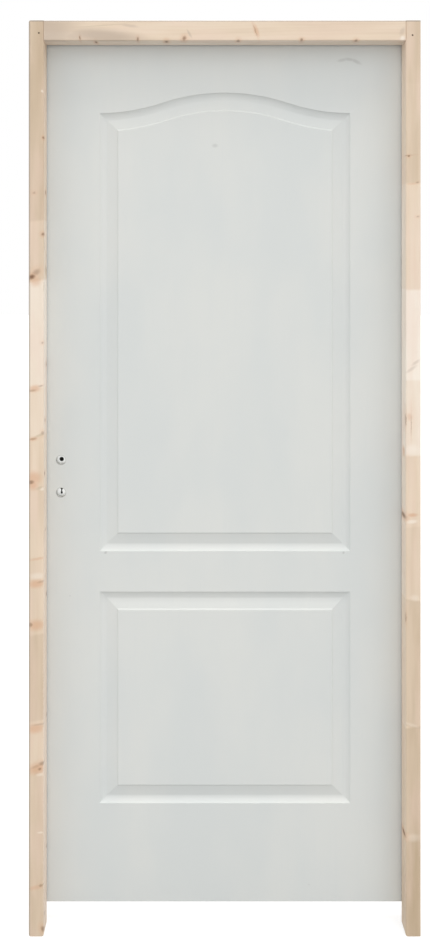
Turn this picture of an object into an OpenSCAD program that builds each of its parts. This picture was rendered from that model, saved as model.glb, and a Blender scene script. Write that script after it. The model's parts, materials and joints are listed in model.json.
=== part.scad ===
// Prehung interior door: a rebated softwood frame, a hollow-core leaf with moulded skins, a mortise
// lock and lift-off hinges. X runs to the right as seen from the push side, Y through the wall
// towards the pull side, and Z up. The origin is at the foot of the hinge jamb, on its wall face
// and in the middle of its depth.

/* [Leaf] */
// Width of the leaf
leaf_w = 860; // [760:5:960]
// Height of the leaf
leaf_h = 2040; // [2020:5:2140]
// Thickness of the leaf over both skins
leaf_t = 40; // [38:0.5:45]
// Thickness of a moulded skin
skin_t = 3.2; // [2.8:0.1:4]
// Width of the lock stile and of the hinge stile
stile_w = 30; // [26:0.5:31]
// Height of the top rail inside the leaf
top_rail_h = 34; // [30:1:50]
// Height of the bottom rail inside the leaf
bottom_rail_h = 60; // [40:1:80]
// Width of the lock block behind the lock stile
block_w = 66; // [60:1:80]
// Height of the lock block
block_h = 340; // [320:5:420]
// Gap left for glue round the honeycomb core
glue_gap = 0.3; // [0.2:0.05:0.5]

/* [Panels] */
// Width of the plain band between the leaf's edges and the panels
side_band = 133; // [125:0.5:190]
// How far the panels lie from the leaf's middle, towards the hinges
panel_off = 2; // [0:0.5:4]
// Height of the lower panel's bottom edge above the leaf's
lower_z = 233; // [180:1:260]
// Height of the lower panel over its moulding
lower_h = 502; // [400:2:540]
// Height of the plain band between the panels
band_h = 96; // [80:1:120]
// Height of the plain band above the arch's crown
top_band = 121.5; // [100:0.5:200]
// Rise of the arch above the shoulders
arch_rise = 48.5; // [30:0.5:60]
// Share of the arch's half width that its crown takes
crown_share = 0.505; // [0.4:0.005:0.6]
// Width of the moulding from its outer edge to the raised field
moulding_w = 44; // [38:0.5:50]
// Depth of the moulding's hollow below the face
moulding_d = 6.5; // [4:0.1:8]
// Height of the sharp step at the moulding's outer edge
quirk_d = 1.5; // [0.8:0.1:2.5]
// Width of the hollow's curved outer side
cove_w = 15; // [11:0.5:16]
// Width of the flat bottom of the hollow
hollow_w = 2; // [1:0.5:4]
// Width of the steep lip round the raised field
lip_w = 3.5; // [2:0.5:6]
// Height of the steep lip round the raised field
lip_d = 2.2; // [1:0.1:3]

/* [Frame] */
// Depth of the frame through the wall
frame_d = 90; // [86:1:110]
// Width of a jamb's face at its stop
jamb_w = 35; // [32:0.5:45]
// Height of the head's face at its stop
head_h = 47; // [36:0.5:60]
// How far the stops lap over the leaf
stop_lap = 10; // [8:0.5:12]
// Gap between the leaf's edges and the rebates
edge_gap = 5; // [5:0.1:6]
// Gap between the leaf's push face and the stops
stop_gap = 5; // [4.5:0.1:6]
// How far the jambs run down below the leaf
leg_drop = 48; // [20:1:60]
// Radius of the frame's rounded front arrises
arris_r = 3; // [1.5:0.5:4]
// Radius of the rounded corners at the jambs' feet and at the lock jamb's top
corner_r = 5; // [4.5:0.5:8]

/* [Hinges] */
// Number of hinges
hinge_n = 3; // [3]
// Height of the middle of the lowest hinge above the leaf's bottom edge
hinge_low_z = 255; // [200:5:300]
// Distance from the leaf's top edge down to the middle of the highest hinge
hinge_top_drop = 205; // [170:5:260]
// Height of a hinge
hinge_h = 110; // [100:1:130]
// Depth of a hinge plate from the pull face into the leaf's edge
plate_d = 32; // [28:0.5:34]
// Thickness of a hinge plate
plate_t = 2.5; // [2:0.1:3]
// Radius of the hinge knuckles
knuckle_r = 6.5; // [6:0.1:7.5]
// Radius of the hinge pin
pin_r = 3.5; // [3:0.1:4]
// Distance from the leaf's pull face out to the hinge axis
axis_out = 9; // [8.5:0.1:11]
// Thickness of the ring between the knuckles
ring_t = 2; // [1.5:0.1:3]
// Running clearance of the pin in the leaf's knuckle
pin_fit = 0.08; // [0.03:0.01:0.1]
// Clearance above the ring
ring_fit = 0.3; // [0.2:0.05:0.5]
// Thickness of the closed end of the leaf's knuckle
knuckle_cap = 3; // [2:0.5:5]
// Gap between the pin's top and the closed end
pin_short = 2; // [1:0.5:4]
// Radius of the hinge plates' rounded corners
plate_r = 8; // [4:0.5:10]
// Distance from a hinge plate's ends to the middle of its first screw
screw_end = 14; // [10:0.5:18]
// Distance from the pull face to the nearer row of screws
screw_near = 11; // [9:0.5:13]
// Distance from the pull face to the farther row of screws
screw_far = 22; // [18:0.5:24]

/* [Screw holes] */
// Diameter of a screw hole
screw_d = 4.5; // [4:0.1:5]
// Diameter of a screw hole's countersink
screw_head_d = 8; // [7:0.1:8.4]

/* [Lock] */
// Height of the follower above the leaf's bottom edge
follower_z = 1047; // [1000:1:1060]
// Distance from the leaf's edge to the follower
backset = 43; // [41.5:0.5:46]
// Distance from the follower down to the keyhole's axis
key_drop = 70; // [68:0.5:72]
// Distance from the keyhole's axis down to the middle of its drilling
key_hole_off = 7; // [5:0.5:8]
// Diameter of the two drillings through the skins
drill_d = 22; // [20:0.5:23]
// Side of the follower's square hole
square_w = 7; // [6:0.5:8]
// Diameter of the follower's hub
hub_d = 16; // [14:0.5:18]
// Height of the lock case
case_h = 164; // [156:1:170]
// Distance from the case's top down to the follower
case_top = 38; // [34:1:44]
// Depth of the lock case behind its faceplate
case_d = 74; // [70:1:78]
// Thickness of the lock case
case_t = 14; // [12:0.5:15]
// Height of the faceplate
face_h = 235; // [225:1:240]
// Width of the faceplate
face_w = 20; // [18:0.5:22]
// Thickness of the faceplate
face_t = 3; // [2.5:0.1:3.5]
// Radius of the corners at the faceplate's ends
face_r = 8; // [3:0.5:8.5]
// Distance from the faceplate's ends to its screws
face_screw_end = 11; // [9:0.5:14]
// Height of the latch bolt's head
latch_h = 22; // [18:0.5:24]
// Height of the dead bolt's head
bolt_h = 26; // [22:0.5:30]
// Thickness of both bolts
bolt_t = 9; // [8:0.5:10]
// Length of both bolts' heads inside the case
bolt_len = 26; // [20:0.5:28]
// How far the drawn-back bolts sit behind the faceplate's face
bolt_back = 0.5; // [0:0.1:1]
// Length of the slant on the latch bolt's closing side
latch_slant = 7; // [5:0.5:9]
// Height of the strike plate
strike_h = 150; // [140:1:170]
// Width of the strike plate
strike_w = 24; // [22:0.5:28]
// Thickness of the strike plate
strike_t = 2; // [1.8:0.1:2.5]
// Radius of the strike plate's corners
strike_r = 5; // [2:0.5:8]
// Distance from the strike plate's ends to its screws
strike_screw_end = 9; // [8:0.5:12]
// Clearance round the bolts in the strike plate
strike_fit = 2; // [1.5:0.1:3]
// Depth of the pockets behind the strike plate
pocket_d = 12; // [10:0.5:14]
// Working clearance inside the mortises
mortise_fit = 0.5; // [0.3:0.1:1]
// How far the bolts sit above the middle of the follower and of the keyhole
bolt_rise = 2; // [0:0.5:3]
// Diameter of the keyhole's round head
key_head_d = 6; // [5:0.5:7]
// Width of the keyhole's waist
key_slot_w = 2.6; // [2:0.1:3.5]
// Length of the keyhole below its head's middle
key_slot_h = 12.5; // [11:0.5:14]
// Width of the keyhole's foot
key_foot_w = 4.8; // [4:0.1:5.5]
// Height of the keyhole's foot
key_foot_h = 5; // [4:0.5:6]

/* [Hidden] */
$fn = 96;
EPS = 1;
rebate_w = stop_lap + edge_gap;
rebate_d = leaf_t + stop_gap;
stop_d = frame_d - rebate_d;
clear_w = leaf_w - 2 * stop_lap;
frame_w = clear_w + 2 * jamb_w;
leaf_z = leg_drop;
clear_z = leaf_z + leaf_h - stop_lap;
frame_h = clear_z + head_h;
push_y = -frame_d / 2;
pull_y = frame_d / 2;
leaf_push_y = pull_y - leaf_t;
leaf_mid_y = pull_y - leaf_t / 2;
hinge_edge_x = -jamb_w + stop_lap;
lock_edge_x = hinge_edge_x - leaf_w;
hinge_rebate_x = hinge_edge_x + edge_gap;
lock_rebate_x = lock_edge_x - edge_gap;
leaf_mid_x = (hinge_edge_x + lock_edge_x) / 2;

panel_w = leaf_w - 2 * side_band;
half_w = panel_w / 2;
upper_z = lower_z + lower_h + band_h;
upper_h = leaf_h - top_band - arch_rise - upper_z;
arch_a = 2 * atan(arch_rise / half_w);
arch_r = half_w / sin(arch_a);
crown_r = crown_share * arch_r;
reverse_r = arch_r - crown_r;
turn_x = crown_share * half_w;
turn_drop = crown_share * arch_rise;
cove_drop = moulding_d - quirk_d;
cove_r = (cove_w * cove_w + cove_drop * cove_drop) / (2 * cove_drop);
sweep_in = 1.2 * (moulding_w + arch_rise);

axis_x = hinge_edge_x + edge_gap / 2;
axis_y = pull_y + axis_out;
hinge_pitch = (leaf_h - hinge_low_z - hinge_top_drop) / (hinge_n - 1);
knuckle_h = (hinge_h - ring_t) / 2;

follower_x = lock_edge_x + backset;
follower_abs_z = leaf_z + follower_z;
case_mid_z = follower_abs_z + case_top - case_h / 2;
latch_z = follower_abs_z + bolt_rise;
bolt_z = follower_abs_z - key_drop + bolt_rise;
strike_mid_z = (latch_z + bolt_z) / 2;
block_z = case_mid_z - block_h / 2;

function hinge_z(i) = leaf_z + hinge_low_z + i * hinge_pitch;

// A box between two corners.
module block(low, high) {
    translate(low) cube(high - low);
}

// The hollow that is pressed into a face, drawn flat: x across, y up and z out of the face.

// Cross-section of the pressed hollow, d inwards from the moulding's outer edge to reach.
module hollow_section(reach) {
    difference() {
        translate([0, -moulding_d]) square([reach, moulding_d + EPS]);
        difference() {
            translate([-EPS, -moulding_d - EPS]) square([cove_w + EPS, cove_drop + EPS]);
            translate([cove_w, cove_r - moulding_d]) circle(r = cove_r);
        }
    }
}

// Cross-section of the raised field and its bevel, in the same place.
module field_section(reach) {
    polygon([
        [cove_w + hollow_w, -moulding_d - EPS],
        [cove_w + hollow_w, -moulding_d],
        [moulding_w - lip_w, -lip_d],
        [moulding_w, 0],
        [moulding_w, 2 * EPS],
        [reach, 2 * EPS],
        [reach, -moulding_d - EPS]
    ]);
}

// Chooses one of the two cross-sections.
module section(raised, reach) {
    if (raised) field_section(reach);
    else hollow_section(reach);
}

// The section carried up both long sides of a panel.
module side_runs(raised, y0, y1) {
    translate([0, y1, 0]) rotate([90, 0, 0]) linear_extrude(y1 - y0) {
        translate([-half_w, 0]) section(raised, half_w + EPS);
        translate([half_w, 0]) mirror([1, 0]) section(raised, half_w + EPS);
    }
}

// The section carried along a panel's bottom side, from its edge at y = 0.
module bottom_run(raised, reach) {
    translate([-half_w - EPS, 0, 0]) rotate([90, 0, 90])
        linear_extrude(panel_w + 2 * EPS) section(raised, reach);
}

// The section carried along the arch: a crown between two reverse curves. Both halves start from the
// point where the curve turns, where their ends are the same, and meet on the panel's middle plane.
module arch_run(raised, shoulder) {
    for (side = [0, 1]) mirror([side, 0, 0]) intersection() {
        translate([turn_x, shoulder + arch_rise - turn_drop, 0]) rotate([0, 0, -arch_a]) {
            translate([0, -crown_r, 0]) rotate([0, 0, 90]) rotate_extrude(angle = arch_a + 1)
                translate([crown_r, 0]) mirror([1, 0]) section(raised, sweep_in);
            translate([0, reverse_r, 0]) rotate([0, 0, 270]) rotate_extrude(angle = arch_a + 1)
                translate([reverse_r, 0]) section(raised, sweep_in);
        }
        block([0, 0, -2 * moulding_d], [panel_w, 2 * shoulder, 2 * moulding_d]);
    }
}

// All that is pressed or raised within a straight panel of height h.
module straight_panel(raised, h) {
    intersection() {
        side_runs(raised, -EPS, h + EPS);
        translate([-half_w - EPS, 0, 0]) rotate([90, 0, 90]) linear_extrude(panel_w + 2 * EPS) {
            section(raised, h / 2 + EPS);
            translate([h, 0]) mirror([1, 0]) section(raised, h / 2 + EPS);
        }
    }
}

// The same within an arched panel with its shoulders at height h.
module arched_panel(raised, h) {
    intersection() {
        side_runs(raised, -EPS, h + arch_rise + EPS);
        union() {
            bottom_run(raised, h - 1.4 * moulding_w);
            arch_run(raised, h);
        }
    }
}

// The pressed hollows of both panels, with the leaf's bottom edge at y = 0.
module hollows() {
    translate([0, lower_z, 0]) difference() {
        straight_panel(false, lower_h);
        straight_panel(true, lower_h);
    }
    translate([0, upper_z, 0]) difference() {
        arched_panel(false, upper_h);
        arched_panel(true, upper_h);
    }
}

// Turns what is drawn flat to the leaf's push face or pull face, sunk by a depth.
module on_face(pull, depth) {
    y = pull ? pull_y - depth : leaf_push_y + depth;
    translate([leaf_mid_x + panel_off, y, leaf_z]) mirror([0, pull ? 1 : 0, 0])
        rotate([90, 0, 0]) children();
}

// A moulded skin: as thick in its hollows as elsewhere.
module skin(pull) {
    y = pull ? pull_y - skin_t : leaf_push_y;
    difference() {
        union() {
            block([lock_edge_x, y, leaf_z], [hinge_edge_x, y + skin_t, leaf_z + leaf_h]);
            on_face(pull, skin_t) hollows();
        }
        on_face(pull, 0) hollows();
        drillings();
        plate_seats(hinge_edge_x - plate_t, hinge_edge_x + EPS);
    }
}

module front_skin() {
    color("#d8dad6") skin(false);
}

module back_skin() {
    color("#d8dad6") skin(true);
}

// The two drillings that run through the leaf for the handles and the key.
module drillings() {
    for (drop = [0, key_drop + key_hole_off])
        translate([follower_x, leaf_push_y - EPS, follower_abs_z - drop]) rotate([-90, 0, 0])
            cylinder(d = drill_d, h = leaf_t + 2 * EPS);
}

// The room that the lock takes in the stile and the block.
module lock_mortise() {
    t = case_t / 2 + mortise_fit;
    h = case_h / 2 + mortise_fit;
    block([lock_edge_x - EPS, leaf_mid_y - t, case_mid_z - h],
        [lock_edge_x + face_t + case_d + mortise_fit, leaf_mid_y + t, case_mid_z + h]);
    translate([lock_edge_x - EPS, leaf_mid_y, case_mid_z])
        upright_plate(face_w, face_h, face_r, face_t + EPS);
}

// The core's place between the skins, from x0 to x1 and from z0 to z1 above the leaf's bottom edge.
module between_skins(x0, x1, z0, z1) {
    block([x0, leaf_push_y + skin_t, leaf_z + z0], [x1, pull_y - skin_t, leaf_z + z1]);
}

module lock_stile() {
    color("#e2cda9") difference() {
        between_skins(lock_edge_x, lock_edge_x + stile_w, 0, leaf_h);
        lock_mortise();
    }
}

module hinge_stile() {
    color("#e2cda9") difference() {
        between_skins(hinge_edge_x - stile_w, hinge_edge_x, 0, leaf_h);
        plate_seats(hinge_edge_x - plate_t, hinge_edge_x + EPS);
    }
}

module top_rail() {
    color("#e2cda9") between_skins(lock_edge_x + stile_w, hinge_edge_x - stile_w,
        leaf_h - top_rail_h, leaf_h);
}

module bottom_rail() {
    color("#e2cda9") between_skins(lock_edge_x + stile_w, hinge_edge_x - stile_w, 0, bottom_rail_h);
}

module lock_block() {
    color("#d9c294") difference() {
        between_skins(lock_edge_x + stile_w, lock_edge_x + stile_w + block_w,
            block_z - leaf_z, block_z - leaf_z + block_h);
        lock_mortise();
        drillings();
    }
}

// The honeycomb core, shown as one block that follows the skins' hollows.
module core() {
    color("#b99a6b") difference() {
        between_skins(lock_edge_x + stile_w + glue_gap, hinge_edge_x - stile_w - glue_gap,
            bottom_rail_h + glue_gap, leaf_h - top_rail_h - glue_gap);
        on_face(false, skin_t + glue_gap) hollows();
        on_face(true, skin_t + glue_gap) hollows();
        between_skins(lock_edge_x, lock_edge_x + stile_w + block_w + glue_gap,
            block_z - leaf_z - glue_gap, block_z - leaf_z + block_h + glue_gap);
    }
}

// Cross-section of the jambs, from the wall face at x = 0 to the stop at x = -jamb_w.
module jamb_section() {
    difference() {
        union() {
            translate([-jamb_w, push_y + arris_r]) square([jamb_w, frame_d - arris_r]);
            translate([-jamb_w + arris_r, push_y]) square([jamb_w - 2 * arris_r, 2 * arris_r]);
            for (x = [-jamb_w + arris_r, -arris_r]) translate([x, push_y + arris_r]) circle(r = arris_r);
        }
        translate([-jamb_w - EPS, push_y + stop_d]) square([rebate_w + EPS, rebate_d + EPS]);
    }
}

// The pockets behind the strike plate, for the latch bolt and the dead bolt.
module strike_holes(depth) {
    bolt_box(latch_z, latch_h, lock_rebate_x - depth, lock_rebate_x + EPS, strike_fit);
    bolt_box(bolt_z, bolt_h, lock_rebate_x - depth, lock_rebate_x + EPS, strike_fit);
}

// The strike plate before its holes, grown by fit and carried out of the rebate's face by out.
module strike_body(fit, out) {
    translate([lock_rebate_x - strike_t, leaf_mid_y, strike_mid_z])
        upright_plate(strike_w + 2 * fit, strike_h + 2 * fit, strike_r + fit, strike_t + out);
}

// A plate of thickness t with its back on the YZ plane and its corners rounded to r.
module upright_plate(w, h, r, t) {
    rotate([90, 0, 90]) linear_extrude(t) {
        square([w, h - 2 * r], center = true);
        square([w - 2 * r, h], center = true);
        for (y = [r - w / 2, w / 2 - r], z = [r - h / 2, h / 2 - r]) translate([y, z]) circle(r = r);
    }
}

// A countersunk screw hole through a plate of thickness t, sunk from the origin towards x.
module screw_hole(x, t) {
    rotate([0, x * 90, 0]) {
        translate([0, 0, -EPS]) cylinder(d = screw_head_d, h = EPS);
        cylinder(d1 = screw_head_d, d2 = screw_d, h = (screw_head_d - screw_d) / 2);
        cylinder(d = screw_d, h = t + EPS);
    }
}

// What is taken off a jamb to round an upright end's corner at the origin, x and z being 1 or -1.
module corner_loss(x, z) {
    mirror([x > 0 ? 0 : 1, 0, 0]) mirror([0, 0, z > 0 ? 0 : 1]) rotate([90, 0, 0])
        linear_extrude(frame_d + 2 * EPS, center = true) difference() {
            translate([-corner_r, -corner_r]) square(corner_r + EPS);
            translate([-corner_r, -corner_r]) circle(r = corner_r);
        }
}

module lock_jamb() {
    color("#e4ceb0") difference() {
        translate([-frame_w, 0, 0]) mirror([1, 0, 0]) linear_extrude(frame_h) jamb_section();
        strike_body(mortise_fit, EPS);
        strike_holes(pocket_d);
        translate([-frame_w, 0, frame_h]) corner_loss(-1, 1);
        translate([-frame_w, 0, 0]) corner_loss(-1, -1);
        translate([-frame_w + jamb_w, 0, 0]) corner_loss(1, -1);
    }
}

module hinge_jamb() {
    color("#e4ceb0") difference() {
        linear_extrude(frame_h) jamb_section();
        plate_seats(hinge_rebate_x - EPS, hinge_rebate_x + plate_t);
        translate([-jamb_w, 0, 0]) corner_loss(-1, -1);
    }
}

// The head, butted between the jambs and scribed to their stops.
module head() {
    x0 = -frame_w + jamb_w;
    x1 = -jamb_w;
    color("#e4ceb0") {
        block([x0, push_y + arris_r, clear_z], [x1, push_y + stop_d, frame_h]);
        block([x0, push_y, clear_z + arris_r], [x1, push_y + 2 * arris_r, frame_h - arris_r]);
        for (z = [clear_z + arris_r, frame_h - arris_r])
            translate([x0, push_y + arris_r, z]) rotate([0, 90, 0]) cylinder(r = arris_r, h = x1 - x0);
        block([x0 - rebate_w, push_y + stop_d, clear_z + rebate_w], [x1 + rebate_w, pull_y, frame_h]);
    }
}

module strike_plate() {
    color("#b9bcc0") difference() {
        strike_body(0, 0);
        strike_holes(strike_t + EPS);
        for (side = [-1, 1])
            translate([lock_rebate_x, leaf_mid_y, strike_mid_z + side * (strike_h / 2 - strike_screw_end)])
                screw_hole(-1, strike_t);
    }
}

// The seats of the hinge plates, cut between two X values.
module plate_seats(x0, x1) {
    for (i = [0:hinge_n - 1]) hinge_plate(i, x0, x1 - x0, EPS);
}

// A hinge plate of thickness t from x0, carried out of the pull face by out.
module hinge_plate(i, x0, t, out) {
    translate([x0, pull_y - plate_d, hinge_z(i) - hinge_h / 2]) rotate([90, 0, 90]) linear_extrude(t) {
        translate([plate_r, 0]) square([plate_d + out - plate_r, hinge_h]);
        translate([0, plate_r]) square([plate_d + out, hinge_h - 2 * plate_r]);
        for (z = [plate_r, hinge_h - plate_r]) translate([plate_r, z]) circle(r = plate_r);
    }
}

// The screw holes of a hinge plate with its face at x_face, sunk towards x.
module plate_screws(i, x_face, x) {
    pitch = (hinge_h - 2 * screw_end) / 3;
    for (n = [0:3])
        translate([x_face, pull_y - (n == 0 || n == 3 ? screw_far : screw_near),
            hinge_z(i) - hinge_h / 2 + screw_end + n * pitch]) screw_hole(x, plate_t);
}

// Half a hinge: its plate from x0 and its knuckle of height h from z0, without the bore.
module hinge_half(i, x0, z0, h) {
    hinge_plate(i, x0, plate_t, 0);
    block([x0, pull_y, z0], [x0 + plate_t, axis_y, z0 + h]);
    translate([axis_x, axis_y, z0]) cylinder(r = knuckle_r, h = h);
}

module hinge_frame(i) {
    z0 = hinge_z(i) - hinge_h / 2;
    color("#c9a254") difference() {
        hinge_half(i, hinge_rebate_x, z0, knuckle_h);
        translate([axis_x, axis_y, z0 - EPS]) cylinder(r = pin_r, h = knuckle_h + 2 * EPS);
        plate_screws(i, hinge_rebate_x, 1);
    }
}

module hinge_leaf(i) {
    z0 = hinge_z(i) + ring_t / 2 + ring_fit;
    h = knuckle_h - ring_fit;
    color("#c9a254") difference() {
        hinge_half(i, hinge_edge_x - plate_t, z0, h);
        translate([axis_x, axis_y, z0 - EPS]) cylinder(r = pin_r + pin_fit, h = h - knuckle_cap + EPS);
        plate_screws(i, hinge_edge_x, -1);
    }
}

module hinge_pin(i) {
    z0 = hinge_z(i) - hinge_h / 2;
    color("#d8b66a") translate([axis_x, axis_y, z0]) {
        cylinder(r = pin_r, h = hinge_h - knuckle_cap - pin_short);
        translate([0, 0, knuckle_h]) cylinder(r = knuckle_r, h = ring_t);
    }
}

module lock_case() {
    x0 = lock_edge_x + face_t;
    color("#b5b7b8") difference() {
        block([x0, leaf_mid_y - case_t / 2, case_mid_z - case_h / 2],
            [x0 + case_d, leaf_mid_y + case_t / 2, case_mid_z + case_h / 2]);
        translate([follower_x, leaf_mid_y - case_t, follower_abs_z]) rotate([-90, 0, 0])
            cylinder(d = hub_d + 2 * pin_fit, h = 2 * case_t);
        key_hole();
        bolt_ways();
    }
}

// The keyhole: a round head, a narrow waist and a wider foot.
module key_hole() {
    z = follower_abs_z - key_drop;
    translate([follower_x, leaf_mid_y - case_t, z]) rotate([-90, 0, 0]) {
        cylinder(d = key_head_d, h = 2 * case_t);
        translate([-key_slot_w / 2, 0, 0]) cube([key_slot_w, key_slot_h, 2 * case_t]);
        translate([-key_foot_w / 2, key_slot_h - key_foot_h, 0]) cube([key_foot_w, key_foot_h, 2 * case_t]);
    }
}

// The bolts' ways through the front of the case and the faceplate.
module bolt_ways() {
    x1 = lock_edge_x + face_t + bolt_len + mortise_fit;
    bolt_box(latch_z, latch_h, lock_edge_x - EPS, x1, mortise_fit);
    bolt_box(bolt_z, bolt_h, lock_edge_x - EPS, x1, mortise_fit);
}

// A box as high as a bolt's head and as thick, grown by fit, from x0 to x1.
module bolt_box(z, h, x0, x1, fit) {
    block([x0, leaf_mid_y - bolt_t / 2 - fit, z - h / 2 - fit],
        [x1, leaf_mid_y + bolt_t / 2 + fit, z + h / 2 + fit]);
}

module follower() {
    color("#a9abac") difference() {
        translate([follower_x, leaf_mid_y - case_t / 2, follower_abs_z]) rotate([-90, 0, 0])
            cylinder(d = hub_d, h = case_t);
        translate([follower_x, leaf_mid_y, follower_abs_z])
            cube([square_w, 2 * case_t, square_w], center = true);
    }
}

module faceplate() {
    color("#c8c9c6") difference() {
        translate([lock_edge_x, leaf_mid_y, case_mid_z]) upright_plate(face_w, face_h, face_r, face_t);
        bolt_ways();
        for (side = [-1, 1])
            translate([lock_edge_x, leaf_mid_y, case_mid_z + side * (face_h / 2 - face_screw_end)])
                screw_hole(1, face_t);
    }
}

// The latch bolt, slanted on the side that meets the strike plate as the leaf closes.
module latch_bolt() {
    x0 = lock_edge_x + bolt_back;
    x1 = lock_edge_x + face_t + bolt_len;
    y0 = leaf_mid_y - bolt_t / 2;
    y1 = leaf_mid_y + bolt_t / 2;
    color("#c8c9c6") translate([0, 0, latch_z - latch_h / 2]) linear_extrude(latch_h)
        polygon([[x0, y1], [x0 + latch_slant, y0], [x1, y0], [x1, y1]]);
}

module dead_bolt() {
    color("#c8c9c6") bolt_box(bolt_z, bolt_h, lock_edge_x + bolt_back, lock_edge_x + face_t + bolt_len, 0);
}

lock_jamb();
hinge_jamb();
head();
strike_plate();
front_skin();
back_skin();
lock_stile();
hinge_stile();
top_rail();
bottom_rail();
lock_block();
core();
lock_case();
follower();
faceplate();
latch_bolt();
dead_bolt();
for (i = [1:hinge_n]) {
    hinge_frame(i - 1);
    hinge_pin(i - 1);
    hinge_leaf(i - 1);
}
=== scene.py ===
"""Finishes, fixings and stage of a prehung interior door: a moulded white leaf in a bare pine frame."""

import json
import math
from collections import namedtuple

import bmesh
import bpy
from mathutils import Matrix, Vector


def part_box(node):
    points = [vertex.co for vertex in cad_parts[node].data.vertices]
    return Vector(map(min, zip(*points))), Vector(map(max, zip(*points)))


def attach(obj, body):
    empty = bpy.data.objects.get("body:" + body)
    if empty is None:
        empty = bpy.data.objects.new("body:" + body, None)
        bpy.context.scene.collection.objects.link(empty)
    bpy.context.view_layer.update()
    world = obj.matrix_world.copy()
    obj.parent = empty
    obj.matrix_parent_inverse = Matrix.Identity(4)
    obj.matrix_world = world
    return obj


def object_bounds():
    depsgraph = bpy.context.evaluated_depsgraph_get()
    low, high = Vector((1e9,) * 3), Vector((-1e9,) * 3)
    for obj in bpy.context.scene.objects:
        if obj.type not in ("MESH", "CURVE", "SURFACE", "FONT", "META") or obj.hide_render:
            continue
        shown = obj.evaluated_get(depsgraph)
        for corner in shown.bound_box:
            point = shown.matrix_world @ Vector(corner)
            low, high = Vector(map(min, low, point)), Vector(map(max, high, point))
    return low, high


bl_info = {
    "name": "Prehung Interior Door",
    "version": (1, 0, 0),
    "blender": (4, 5, 0),
    "location": "View3D > Sidebar > Door",
    "description": "Finishes, fixings and stage of a prehung interior door",
    "category": "Object",
}

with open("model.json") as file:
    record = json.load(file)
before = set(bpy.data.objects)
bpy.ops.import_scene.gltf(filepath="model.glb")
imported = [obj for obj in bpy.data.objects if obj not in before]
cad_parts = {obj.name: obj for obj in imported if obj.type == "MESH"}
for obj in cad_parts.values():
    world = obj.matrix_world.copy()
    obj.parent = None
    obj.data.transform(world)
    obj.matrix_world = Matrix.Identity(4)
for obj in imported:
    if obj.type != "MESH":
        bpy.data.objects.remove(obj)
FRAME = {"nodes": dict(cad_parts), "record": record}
CAD_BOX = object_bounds()

FRAME_LOW, FRAME_HIGH = CAD_BOX
PUSH_Y = FRAME_LOW.y
LOCK_JAMB_LOW, LOCK_JAMB_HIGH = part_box("lock_jamb")
LOCK_WALL_X = LOCK_JAMB_LOW.x
LOCK_STOP_X = LOCK_JAMB_HIGH.x
HINGE_STOP_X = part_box("hinge_jamb")[0].x
HEAD_UNDER_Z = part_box("head")[0].z
LEAF_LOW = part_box("front_skin")[0]
LEAF_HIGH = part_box("back_skin")[1]
HINGES = (1, 2, 3)
DRILLINGS = [
    Vector(mount["pos_m"])
    for mount in FRAME["record"]["mounts"]
    if mount["name"].endswith("_drilling_push")
]
DRILLING_RADIUS = 0.011

# The sunk brads at the head's two ends: across and height, and how far their craters stand proud.
BRAD_SPOTS = ((-0.8863, 2.0958), (-0.0193, 2.0907))
BRAD_PROUD = 0.00015

# How far a mark reaches into the wood, and into the leaf's paint, from the face that it is on.
FACE_REACH = 0.012
REVEAL_REACH = 0.006
UNDER_REACH = 0.004
PAINT_REACH = 0.004
# Where a mark begins and where it is full, as shares of its half size.
MARK_EDGE = (1.35, 0.25)
# How strongly each kind of mark covers what lies under it.
MARK_STRENGTH = {
    "warm": 0.55, "resin": 0.7, "grey": 0.75, "pale": 0.8, "knot": 0.85, "smudge": 0.35, "speck": 0.6,
}
# How far the warm halo grows past its knot, and its strength.
KNOT_HALO = (2.3, 0.45)
# How far the ragged edge of a mark in the wood swings along X, Y and Z.
RAGGED_SWING = (0.004, 0.0, 0.002)
# Half the width over which two blocks of timber meet.
FINGER_JOINT = 0.004
# How much the wood's slow drifts swing its tone, and how much paler the sides are painted than the faces, as
# painted light on the sides that the lights leave dim.
DRIFT_SWING = 0.9
PAINTED_SIDE_LIFT = 0.55
# Where the painted shade along the wall-side and top edges starts and where it is full, measured from the
# wall side and from the top.
WALL_EDGE_SHADE = (0.0050, 0.0024)
TOP_EDGE_SHADE = (0.0042, 0.0018)
# How much rougher sawn ends are than planed faces, and the late wood than the early wood.
SAWN_ROUGHER = 0.2
LATE_WOOD_ROUGHER = -0.08
# How far a drilling's grubby rim spreads over the skin, and how near an edge the board counts as cut.
RIM_WIDTH = 0.0020
CUT_NEARNESS = 0.0001
CUT_ROUGHER = 0.35
# Where the painted shade round the square hole starts and where it is full, from the drilling's axis.
HOLE_SHADE_EDGE = (0.0058, 0.0046)

ORIGIN = (0.0, 0.0, 0.0)
COLOR = {"subtype": "COLOR", "size": 3, "min": 0.0, "max": 1.0}
FACTOR = {"subtype": "FACTOR", "min": 0.0, "max": 1.0}

# A mark in the wood or on the paint: its kind, middle, half sizes along X, Y and Z, tilt in degrees
# and strength.
Mark = namedtuple("Mark", "kind middle size tilt strength")
# A stretch of a jamb between two finger joints: its lowest and highest point at the place across,
# the joints' slant and its tone, which is paler above 0 and deeper below.
Block = namedtuple("Block", "low high across slant tone")


def face_mark(kind, height, across, half_length, half_height, tilt=0.0, strength=1.0):
    """A mark on the frame's push face."""
    return Mark(kind, (across, PUSH_Y, height), (half_length, FACE_REACH, half_height), tilt, strength)


def reveal_mark(kind, height, across, depth, radius, strength=1.0, stretch=1.0):
    """A mark on the side of a jamb that faces the opening."""
    size = (REVEAL_REACH, radius * stretch, radius)
    return Mark(kind, (across, PUSH_Y + depth, height), size, 0.0, strength)


def under_mark(kind, across, depth, half_length, half_depth, strength=1.0):
    """A mark on the head's underside."""
    size = (half_length, half_depth, UNDER_REACH)
    return Mark(kind, (across, PUSH_Y + depth, HEAD_UNDER_Z), size, 0.0, strength)


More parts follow.
